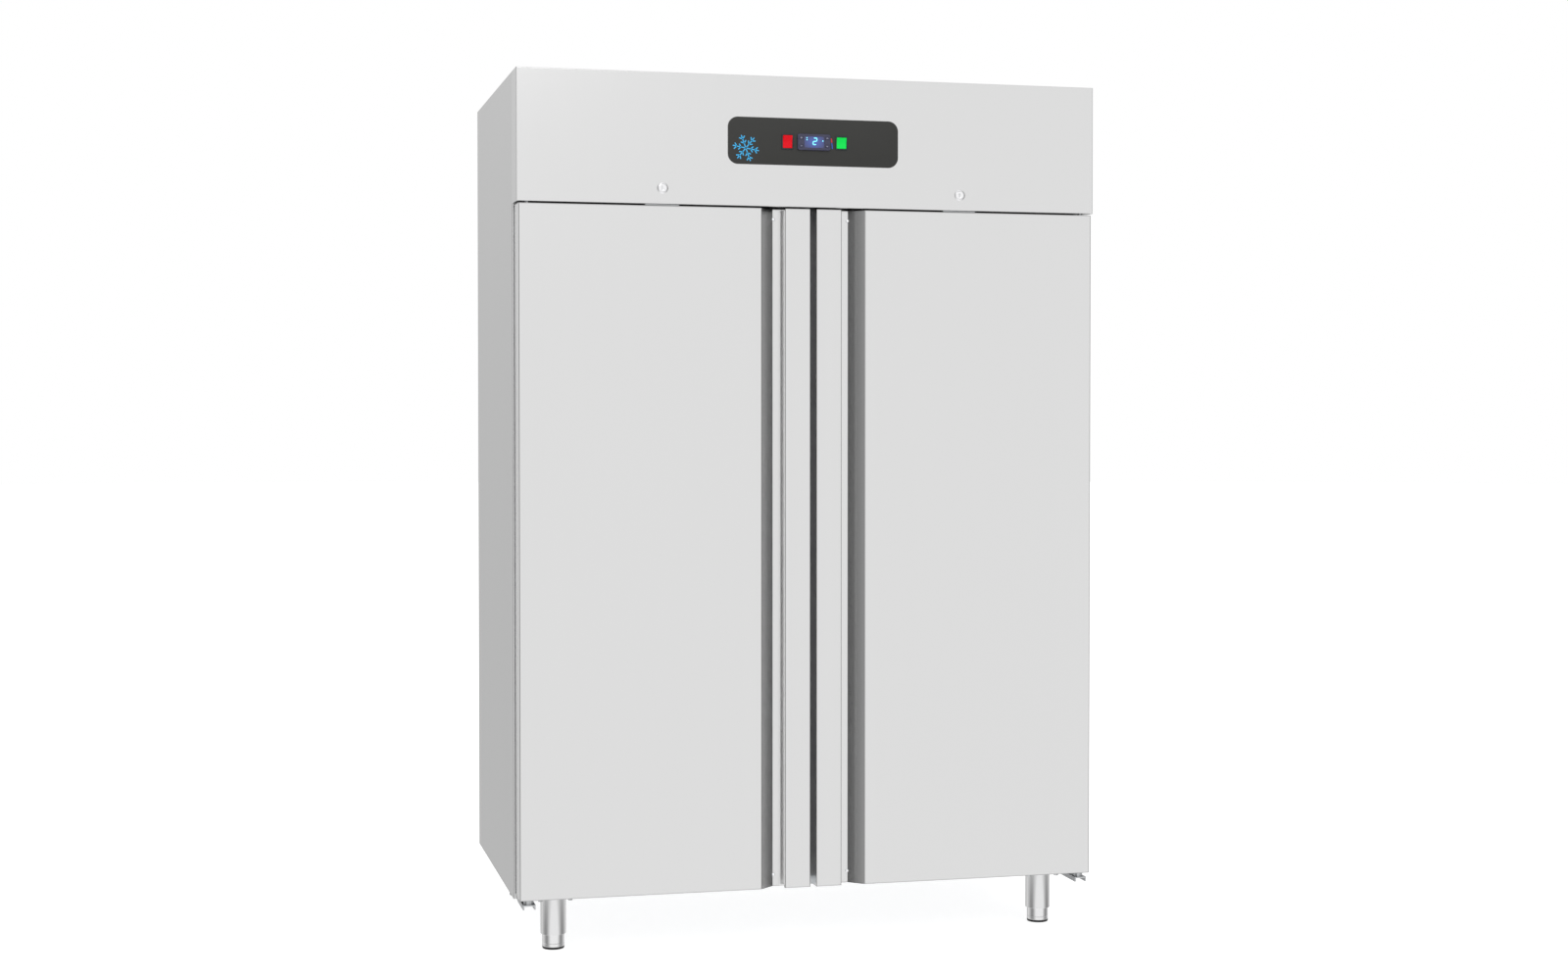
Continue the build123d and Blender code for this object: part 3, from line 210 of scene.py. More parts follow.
def rounded_rectangle(width: float, height: float, corner: float, steps: int = 8) -> np.ndarray:
    """Outline of quarter circles round four corner centres, counterclockwise.

    Args:
        width: Size along the first axis.
        height: Size along the second axis.
        corner: Corner radius, at most half the smaller size.
        steps: Points in each quarter circle.
    Returns:
        One row of two coordinates for each point.
    """
    corner = min(corner, width / 2, height / 2)
    turn = np.linspace(0, math.pi / 2, steps)[None] + np.arange(4)[:, None] * math.pi / 2
    sign = np.array([[1, 1], [-1, 1], [-1, -1], [1, -1]])
    centre = sign * np.array([width / 2 - corner, height / 2 - corner])
    arc = np.stack([np.cos(turn), np.sin(turn)], -1) * corner
    return (centre[:, None] + arc).reshape(-1, 2)


def stacked(levels: list, steps: int = 8, ring: bool = False) -> Surface:
    """Rounded rectangles one above the other, joined by ruled faces.

    Args:
        levels: Width, height, corner radius and Z of each rectangle, climbing on the outside.
        steps: Points in each corner.
        ring: Whether the last rectangle joins the first.
    Returns:
        The closed surface.
    """
    rows = []
    for width, height, corner, z in levels:
        outline = rounded_rectangle(width, height, corner, steps)
        rows.append(np.column_stack([outline, np.full(len(outline), z)]))
    return grid(np.stack(rows), wrap_rows=ring)


def soft_edge(size: tuple, low: float, high: float, edge: float, steps: int = 4) -> list:
    """Levels of a plate whose upper rim is a quarter circle: inset e(1 - sin a), height e(1 - cos a).

    Args:
        size: Width, height and corner radius.
        low: Height of its foot.
        high: Height of its top.
        edge: Radius of the rim.
        steps: Levels in the quarter circle.
    Returns:
        Levels for stacked().
    """
    width, height, corner = size
    levels = [(width, height, corner, low)]
    for a in np.linspace(0, math.pi / 2, steps):
        inset = edge * (1 - math.cos(a))
        z = high - edge + edge * math.sin(a)
        levels.append((width - 2 * inset, height - 2 * inset, max(corner - inset, 1e-5), z))
    return levels


def slab(outline: np.ndarray, low: float, high: float) -> Surface:
    """Returns a flat piece between two heights, whose outline of X and Y turns to the left."""
    return grid(np.stack([np.column_stack([outline, np.full(len(outline), z)]) for z in (low, high)]))


def strokes(lines: list, width: float, low: float, high: float, corner: float = 0.4) -> Surface:
    """Flat bars along lines: a rounded rectangle turned by each line's angle about its middle.

    Args:
        lines: Start and end, as X and Y, of each bar.
        width: Width of the bars.
        low: Height of their underside.
        high: Height of their top.
        corner: Corner radius of the bars.
    Returns:
        All bars as one surface.
    """
    parts = []
    for start, end in np.array(lines, float):
        length = np.hypot(*(end - start))
        along = (end - start) / length
        turn = np.array([[along[0], along[1]], [-along[1], along[0]]])
        outline = rounded_rectangle(length, width, corner, 4) @ turn + (start + end) / 2
        parts.append(slab(outline, low, high))
    return joined(parts)


def soft_block(low: tuple, high: tuple, edge: float, steps: int = 3) -> Surface:
    """Block with rounded edges: the corners' quarter spheres joined by flat faces.

    Args:
        low: Lowest corner.
        high: Highest corner.
        edge: Radius of the edges.
        steps: Levels in each rim.
    Returns:
        The closed surface.
    """
    low, high = np.array(low, float), np.array(high, float)
    size, middle = high - low, (high + low) / 2
    top = soft_edge((size[0], size[1], edge), 0.0, size[2] / 2, edge, steps)[1:]
    levels = [(w, h, r, -z) for w, h, r, z in reversed(top)] + top
    return stacked(levels, steps=steps + 1).moved(*middle)


def rounded_path(corners: list, radius: float, steps: int = 6, closed: bool = False) -> np.ndarray:
    """Points of a line of straight runs whose corners are bent on quadratic curves.

    Args:
        corners: The line's corners.
        radius: Distance from a corner at which its bend starts.
        steps: Points in each bend.
        closed: Whether the line returns to its start.
    Returns:
        One row of X, Y and Z for each point.
    """
    corners = np.array(corners, float)
    before, after = np.roll(corners, 1, 0), np.roll(corners, -1, 0)
    t = np.linspace(0, 1, steps)[None, :, None]

    def part_way(other: np.ndarray) -> np.ndarray:
        """Returns the points at the radius from each corner, towards its neighbour."""
        away = other - corners
        return corners + away / np.linalg.norm(away, axis=1)[:, None] * radius

    start, end = part_way(before)[:, None], part_way(after)[:, None]
    bends = (1 - t) ** 2 * start + 2 * t * (1 - t) * corners[:, None] + t**2 * end
    if closed:
        return bends.reshape(-1, 3)
    return np.concatenate([corners[:1], bends[1:-1].reshape(-1, 3), corners[-1:]])


def swept(path: np.ndarray, radius: float, flats: int = 10, closed: bool = False) -> Surface:
    """Round bar along a line: each point gets a circle square to the line's direction there.

    The circle starts square to that direction and to a skew way that no bar here runs along.

    Args:
        path: One row of X, Y and Z for each point.
        radius: Radius of the bar, or one for each point.
        flats: Faces round the bar.
        closed: Whether the line returns to its start.
    Returns:
        The closed surface.
    """
    if closed:
        along = np.roll(path, -1, 0) - np.roll(path, 1, 0)
    else:
        along = np.gradient(path, axis=0)
    along /= np.linalg.norm(along, axis=1)[:, None]
    across = np.cross(along, SKEW)
    across /= np.linalg.norm(across, axis=1)[:, None]
    upward = np.cross(along, across)
    t = np.linspace(0, 2 * math.pi, flats, endpoint=False)[None, :, None]
    circle = across[:, None] * np.cos(t) + upward[:, None] * np.sin(t)
    reach = np.broadcast_to(np.asarray(radius, float), len(path))[:, None, None]
    return grid(path[:, None] + circle * reach, wrap_rows=closed)


def circle_path(radius: float, steps: int = 48, z: float = 0.0) -> np.ndarray:
    """Returns the points of a circle about the Z axis at a height."""
    t = np.linspace(0, 2 * math.pi, steps, endpoint=False)
    return np.column_stack([radius * np.cos(t), radius * np.sin(t), np.full(steps, z)])


def bar(start: tuple, end: tuple, radius: float, flats: int = 8) -> Surface:
    """Returns a straight round bar between two points."""
    return swept(np.array([start, end], float), radius, flats)


# Finishes


def maths(tree: Tree, operation: str, *values: object) -> Socket:
    """Adds one sum to a shader.

    Args:
        tree: The shader's tree.
        operation: Name of the sum.
        values: Sockets or numbers that it takes, in order.
    Returns:
        The result.
    """
    node = tree.nodes.new("ShaderNodeMath")
    node.operation = operation
    for socket, value in zip(node.inputs, values):
        if isinstance(value, (int, float)):
            socket.default_value = value
        else:
            tree.links.new(value, socket)
    return node.outputs[0]


def blended(tree: Tree, first: Socket, share: float, second: Socket) -> Socket:
    """Returns share * first + (1 - share) * second."""
    return maths(tree, "ADD", maths(tree, "MULTIPLY", first, share),
                 maths(tree, "MULTIPLY", second, 1 - share))


def scaled(tree: Tree, vector: Socket, factor: Socket) -> Socket:
    """Multiplies a vector or a colour by a number.

    Args:
        tree: The shader's tree.
        vector: The vector or colour.
        factor: The number.
    Returns:
        Their product.
    """
    node = tree.nodes.new("ShaderNodeVectorMath")
    node.operation = "SCALE"
    tree.links.new(vector, node.inputs[0])
    tree.links.new(factor, node.inputs["Scale"])
    return node.outputs[0]


def object_place(tree: Tree) -> Socket:
    """Returns the place on the object, in metres."""
    return tree.nodes.new("ShaderNodeTexCoord").outputs["Object"]


def seen_directly(tree: Tree) -> Socket:
    """Returns 1 where the camera looks at a thing itself or through glass, and 0 elsewhere."""
    path = tree.nodes.new("ShaderNodeLightPath")
    return maths(tree, "MAXIMUM", path.outputs["Is Camera Ray"], path.outputs["Is Transmission Ray"])


class Grain(Enum):
    """Direction of a metal's brushing, as the pattern's scale along X, Y and Z."""

    UPRIGHT = (900.0, 900.0, 9.0)
    LEVEL = (9.0, 9.0, 900.0)
    AROUND = (60.0, 60.0, 2200.0)


class Effects:
    """Shared shader groups, each built once."""

    @classmethod
    def group(cls, name: str, inputs: dict, outputs: list) -> tuple:
        """Starts a shader group.

        Args:
            name: The group's name.
            inputs: Name and default of each number or vector put in.
            outputs: Names of the values put out.
        Returns:
            The group's tree with its input and output nodes.
        """
        tree = bpy.data.node_groups.new(name, "ShaderNodeTree")
        for label, value in inputs.items():
            kind = "NodeSocketVector" if isinstance(value, tuple) else "NodeSocketFloat"
            tree.interface.new_socket(label, in_out="INPUT", socket_type=kind).default_value = value
        for label in outputs:
            tree.interface.new_socket(label, in_out="OUTPUT", socket_type="NodeSocketFloat")
        return tree, tree.nodes.new("NodeGroupInput"), tree.nodes.new("NodeGroupOutput")

    @classmethod
    def use(cls, tree: Tree, group: Tree, **values: object) -> bpy.types.Node:
        """Places a shared group in a shader.

        Args:
            tree: The shader's tree.
            group: The group.
            values: Values of the group's inputs in this shader.
        Returns:
            The node that holds it.
        """
        node = tree.nodes.new("ShaderNodeGroup")
        node.node_tree = group
        for label, value in values.items():
            node.inputs[label].default_value = value
        return node

    @classmethod
    def noise(cls, tree: Tree, vector: Socket, scale: float, detail: float) -> Socket:
        """Adds a noise pattern.

        Args:
            tree: The shader's tree.
            vector: Where the pattern is read.
            scale: Its waves in a unit of length.
            detail: Its number of finer layers.
        Returns:
            Its value, about one half.
        """
        node = tree.nodes.new("ShaderNodeTexNoise")
        node.inputs["Scale"].default_value = scale
        node.inputs["Detail"].default_value = detail
        tree.links.new(vector, node.inputs["Vector"])
        return node.outputs["Fac"]

    @classmethod
    @cache
    def brushing(cls) -> Tree:
        """Fine streaks drawn out along one axis, with a broad haze of handling over them.

        Returns:
            The group: Stretch in; Streaks and Haze out, both about one half.
        """
        tree, start, end = cls.group("brushing", {"Stretch": (1.0, 1.0, 1.0)}, ["Streaks", "Haze"])
        place = object_place(tree)
        drawn = tree.nodes.new("ShaderNodeVectorMath")
        drawn.operation = "MULTIPLY"
        tree.links.new(place, drawn.inputs[0])
        tree.links.new(start.outputs["Stretch"], drawn.inputs[1])
        fine = cls.noise(tree, drawn.outputs[0], 1.0, 3.0)
        broad = cls.noise(tree, drawn.outputs[0], 0.13, 2.0)
        tree.links.new(blended(tree, fine, 0.65, broad), end.inputs["Streaks"])
        tree.links.new(cls.noise(tree, place, 3.2, 5.0), end.inputs["Haze"])
        return tree

    @classmethod
    @cache
    def moulding(cls) -> Tree:
        """Fine pebbled skin of a moulded or cast piece.

        Returns:
            The group: Size in millimetres in; Skin and Patches out.
        """
        tree, start, end = cls.group("moulding", {"Size": 1.0}, ["Skin", "Patches"])
        place = object_place(tree)
        pebbles = scaled(tree, place, maths(tree, "DIVIDE", 1 / MM, start.outputs["Size"]))
        tree.links.new(cls.noise(tree, pebbles, 1.0, 2.0), end.inputs["Skin"])
        tree.links.new(cls.noise(tree, place, 14.0, 4.0), end.inputs["Patches"])
        return tree

    @classmethod
    @cache
    def spangle(cls) -> Tree:
        """Crystal patches of hot-dip zinc.

        Returns:
            The group: Size in millimetres in; Crystal out, one value for each patch.
        """
        tree, start, end = cls.group("spangle", {"Size": 12.0}, ["Crystal"])
        cells = tree.nodes.new("ShaderNodeTexVoronoi")
        tree.links.new(object_place(tree), cells.inputs["Vector"])
        tree.links.new(maths(tree, "DIVIDE", 1 / MM, start.outputs["Size"]), cells.inputs["Scale"])
        shade = tree.nodes.new("ShaderNodeSeparateColor")
        tree.links.new(cells.outputs["Color"], shade.inputs[0])
        tree.links.new(shade.outputs[0], end.inputs["Crystal"])
        return tree


@dataclass(frozen=True)
class Finish:
    """What every finish shares: a colour, a gloss and how much both wander.

    Args:
        colour: Linear red, green and blue.
        rough: Roughness of the clean surface.
        uneven: How far the pattern moves the roughness.
        shade: How far the pattern moves the colour, as a share.
        bump: Depth of the relief, in metres.
    """

    colour: tuple
    rough: float = 0.5
    uneven: float = 0.08
    shade: float = 0.06
    bump: float = 0.0

    def start(self, name: str) -> tuple:
        """Starts a material with the plain values.

        Args:
            name: The material's name.
        Returns:
            The material, its tree and its shader.
        """
        material = bpy.data.materials.new(name)
        material.use_nodes = True
        tree = material.node_tree
        shader = tree.nodes["Principled BSDF"]
        shader.inputs["Roughness"].default_value = self.rough
        shader.inputs["Base Color"].default_value = (*self.colour, 1.0)
        material.diffuse_color = (*self.colour, 1.0)
        return material, tree, shader

    def vary(self, tree: Tree, shader: bpy.types.Node, tone: Socket, gloss: Socket) -> None:
        """Moves colour and roughness about their values by two patterns that run from 0 to 1.

        Args:
            tree: The material's tree.
            shader: Its Principled shader.
            tone: Pattern for the colour.
            gloss: Pattern for the roughness.
        """
        ramp = tree.nodes.new("ShaderNodeMix")
        ramp.data_type = "RGBA"
        ramp.inputs["A"].default_value = (*[c * (1 - self.shade) for c in self.colour], 1.0)
        ramp.inputs["B"].default_value = (*[min(c * (1 + self.shade), 1.0) for c in self.colour], 1.0)
        tree.links.new(tone, ramp.inputs["Factor"])
        tree.links.new(ramp.outputs["Result"], shader.inputs["Base Color"])
        spread = tree.nodes.new("ShaderNodeMapRange")
        spread.inputs["To Min"].default_value = max(self.rough - self.uneven, 0.02)
        spread.inputs["To Max"].default_value = min(self.rough + self.uneven, 1.0)
        tree.links.new(gloss, spread.inputs["Value"])
        tree.links.new(spread.outputs["Result"], shader.inputs["Roughness"])

    def relief(self, tree: Tree, shader: bpy.types.Node, height: Socket) -> None:
        """Adds a bump of the finish's depth.

        Args:
            tree: The material's tree.
            shader: Its Principled shader.
            height: Pattern of the relief, from 0 to 1.
        """
        if self.bump:
            node = tree.nodes.new("ShaderNodeBump")
            node.inputs["Strength"].default_value = 1.0
            node.inputs["Distance"].default_value = self.bump
            tree.links.new(height, node.inputs["Height"])
            tree.links.new(node.outputs["Normal"], shader.inputs["Normal"])


@dataclass(frozen=True)
class BrushedMetal(Finish):
    """Sheet or turned metal with brushing along one direction.

    Args:
        grain: The direction.
    """

    grain: Grain = Grain.UPRIGHT

    def material(self, name: str) -> bpy.types.Material:
        """Makes the material: streaks move the gloss and relief, and haze moves the colour.

        Args:
            name: The material's name.
        Returns:
            The new material.
        """
        material, tree, shader = self.start(name)
        shader.inputs["Metallic"].default_value = 1.0
        node = Effects.use(tree, Effects.brushing(), Stretch=self.grain.value)
        streaks, haze = node.outputs["Streaks"], node.outputs["Haze"]
        self.vary(tree, shader, blended(tree, streaks, 0.75, haze), blended(tree, streaks, 0.6, haze))
        self.relief(tree, shader, streaks)
        return material


@dataclass(frozen=True)
class FoldedMetal(BrushedMetal):
    """Brushed sheet with painted shade and painted light in its colour: more or less bright inside the doors'
    channels, darker in lines along its edges, lighter on the side faces and in the gap between the doors.

    Args:
        strip: Lowest and highest distance from the middle plane of the channel strip whose colour carries
            painted shade and painted light, in metres.
        depth: Y from which the strip counts, in metres.
        shares: Share of the colour at the strip's lowest and highest distance; below 1 it is painted shade,
            above 1 painted light.
        edges: Distances of the bends at the front from the middle plane, in metres, where a line of painted
            shade runs.
        ends: Heights of the cut ends, in metres, where the same line of painted shade runs.
        front: Y of the front face, in metres.
        line: Width and strength of the dark line of painted shade along bends and ends.
        side: Distance from the middle plane beyond which the colour has another share, and that share; above
            1 it is painted light on the side faces.
        gap: Distance from the middle plane within which the colour has another share, and that share; above 1
            it is painted light in the gap between the doors.
    """

    strip: tuple = (0.0, 1.0)
    depth: float = 0.0
    shares: tuple = (1.0, 1.0)
    edges: tuple = ()
    ends: tuple = (0.1362, 1.7358)
    front: float = -0.3957
    line: tuple = (0.0024, 0.42)
    side: tuple = (0.6953, 1.30)
    gap: tuple = (0.0, 1.0)

    def channel(self, tree: Tree, place: bpy.types.Node, across: Socket) -> Socket:
        """Painted shade and painted light: the share of the colour that runs across the strip, and is 1
        outside it.

        Args:
            tree: The material's tree.
            place: Node with the place's X, Y and Z.
            across: Distance from the middle plane.
        Returns:
            The share.
        """
        inside = maths(tree, "MULTIPLY", maths(tree, "GREATER_THAN", across, self.strip[0]),
                       maths(tree, "LESS_THAN", across, self.strip[1]))
        inside = maths(tree, "MULTIPLY", inside,
                       maths(tree, "GREATER_THAN", place.outputs["Y"], self.depth))
        spread = tree.nodes.new("ShaderNodeMapRange")
        for label, value in zip(("From Min", "From Max", "To Min", "To Max"), (*self.strip, *self.shares)):
            spread.inputs[label].default_value = value
        tree.links.new(across, spread.inputs["Value"])
        change = maths(tree, "SUBTRACT", spread.outputs["Result"], 1.0)
        return maths(tree, "MULTIPLY_ADD", change, inside, 1.0)

    def painted_edge_shade(self, tree: Tree, place: bpy.types.Node, across: Socket) -> Socket:
        """Painted shade: the share of the colour that falls towards the nearest bend or end, and is 1
        elsewhere.

        Args:
            tree: The material's tree.
            place: Node with the place's X, Y and Z.
            across: Distance from the middle plane.
        Returns:
            The share.
        """
        depth = maths(tree, "SUBTRACT", place.outputs["Y"], self.front)
        squared = maths(tree, "MULTIPLY", depth, depth)
        nearest = 1.0
        for edge in self.edges:
            aside = maths(tree, "SUBTRACT", across, edge)
            distance = maths(tree, "SQRT", maths(tree, "MULTIPLY_ADD", aside, aside, squared))
            nearest = maths(tree, "MINIMUM", distance, nearest)
        for end in self.ends:
            distance = maths(tree, "ABSOLUTE", maths(tree, "SUBTRACT", place.outputs["Z"], end))
            nearest = maths(tree, "MINIMUM", distance, nearest)
        # Painted shade: a dark line along each bend and cut end, strongest right on it.
        width, strength = self.line
        near = maths(tree, "MINIMUM", maths(tree, "DIVIDE", nearest, width), 1.0)
        return maths(tree, "MULTIPLY_ADD", near, strength, 1.0 - strength)

    def material(self, name: str) -> bpy.types.Material:
        """Makes the material: the brushed colour times the shares of painted shade and painted light from the
        channel, the bends and ends, the side and the gap.

        Args:
            name: The material's name.
        Returns:
            The new material.
        """
        material = super().material(name)
        tree = material.node_tree
        colour = tree.nodes["Principled BSDF"].inputs["Base Color"]
        place = tree.nodes.new("ShaderNodeSeparateXYZ")
        tree.links.new(object_place(tree), place.inputs[0])
        across = maths(tree, "ABSOLUTE", place.outputs["X"])
        share = maths(tree, "MULTIPLY", self.channel(tree, place, across),
                      self.painted_edge_shade(tree, place, across))
        # Painted light: a lighter colour beyond the side limit, on the side faces, and within the gap limit,
        # between the doors.
        for comparison, (limit, other) in (("GREATER_THAN", self.side), ("LESS_THAN", self.gap)):
            there = maths(tree, comparison, across, limit)
            share = maths(tree, "MULTIPLY", share, maths(tree, "MULTIPLY_ADD", there, other - 1.0, 1.0))
        tree.links.new(scaled(tree, colour.links[0].from_socket, share), colour)
        return material


@dataclass(frozen=True)
class ZincSheet(Finish):
    """Hot-dip galvanised sheet with its crystal patches.

    Args:
        size: Size of a patch, in millimetres.
    """

    size: float = 9.0

    def material(self, name: str) -> bpy.types.Material:
        """Makes the material: each crystal has its own tone and gloss.

        Args:
            name: The material's name.
        Returns:
            The new material.
        """
        material, tree, shader = self.start(name)
        shader.inputs["Metallic"].default_value = 0.9
        crystal = Effects.use(tree, Effects.spangle(), Size=self.size).outputs["Crystal"]
        patches = Effects.use(tree, Effects.moulding(), Size=1.5).outputs["Patches"]
        tone = blended(tree, crystal, 0.7, patches)
        self.vary(tree, shader, tone, tone)
        return material


@dataclass(frozen=True)
class Moulded(Finish):
    """Plastic, rubber, foam or paint with a fine skin.

    Args:
        grit: Size of the skin's pebbles, in millimetres.
        metal: Share of metal, for a bare or plated casting.
        coat: Weight of a clear gloss over the colour.
        sheen: Weight of a dusty sheen.
        shine: Level of the plain reflection; a part that is lit from within has little.
    """

    grit: float = 0.8
    metal: float = 0.0
    coat: float = 0.0
    sheen: float = 0.0
    shine: float = 0.5

    def material(self, name: str) -> bpy.types.Material:
        """Makes the material: pebbles make the relief, and patches move colour and gloss.

        Args:
            name: The material's name.
        Returns:
            The new material.
        """
        material, tree, shader = self.start(name)
        shader.inputs["Metallic"].default_value = self.metal
        shader.inputs["Coat Weight"].default_value = self.coat
        shader.inputs["Coat Roughness"].default_value = 0.12
        shader.inputs["Sheen Weight"].default_value = self.sheen
        shader.inputs["Specular IOR Level"].default_value = self.shine
        node = Effects.use(tree, Effects.moulding(), Size=self.grit)
        self.vary(tree, shader, node.outputs["Patches"], node.outputs["Skin"])
        self.relief(tree, shader, node.outputs["Skin"])
        return material


@dataclass(frozen=True)
class LitWindow(Moulded):
    """Tinted window with a light behind its middle.

    Args:
        middle: Where the light is strongest, in metres.
        spread: Half size of the lit patch along X, Y and Z, in metres.
        lit: Linear colour at the middle.
        glow: Strength of the light it gives.
    """

    middle: tuple = (0.0, 0.0, 0.0)
    spread: tuple = (1.0, 1.0, 1.0)
    lit: tuple = (0.1, 0.1, 0.5)
    glow: float = 0.35

    def material(self, name: str) -> bpy.types.Material:
        """Makes the material: the colour falls from the lit one with the distance from the middle.

        Args:
            name: The material's name.
        Returns:
            The new material.
        """
        material = super().material(name)
        tree = material.node_tree
        nodes, links = tree.nodes, tree.links
        shader = nodes["Principled BSDF"]
        place = nodes.new("ShaderNodeMapping")
        place.inputs["Scale"].default_value = [1 / s for s in self.spread]
        place.inputs["Location"].default_value = [-m / s for m, s in zip(self.middle, self.spread)]
        links.new(object_place(tree), place.inputs["Vector"])
        fall = nodes.new("ShaderNodeTexGradient")
        fall.gradient_type = "SPHERICAL"
        links.new(place.outputs["Vector"], fall.inputs["Vector"])
        mix = nodes.new("ShaderNodeMix")
        mix.data_type = "RGBA"
        links.new(fall.outputs["Fac"], mix.inputs["Factor"])
        links.new(shader.inputs["Base Color"].links[0].from_socket, mix.inputs["A"])
        mix.inputs["B"].default_value = (*self.lit, 1.0)
        for label in ("Base Color", "Emission Color"):
            links.new(mix.outputs["Result"], shader.inputs[label])
        shader.inputs["Emission Strength"].default_value = self.glow
        return material


@dataclass(frozen=True)
class Lit(Finish):
    """Sign that glows a little through a window.

    Args:
        glow: Strength of the light it gives.
    """

    glow: float = 0.9

    def material(self, name: str) -> bpy.types.Material:
        """Makes the material: the glow wanders slightly, as through a diffuser.

        Args:
            name: The material's name.
        Returns:
            The new material.
        """
        material, tree, shader = self.start(name)
        node = Effects.use(tree, Effects.moulding(), Size=0.6)
        self.vary(tree, shader, node.outputs["Patches"], node.outputs["Skin"])
        shader.inputs["Emission Strength"].default_value = self.glow
        shader.inputs["Emission Color"].default_value = (*self.colour, 1.0)
        return material


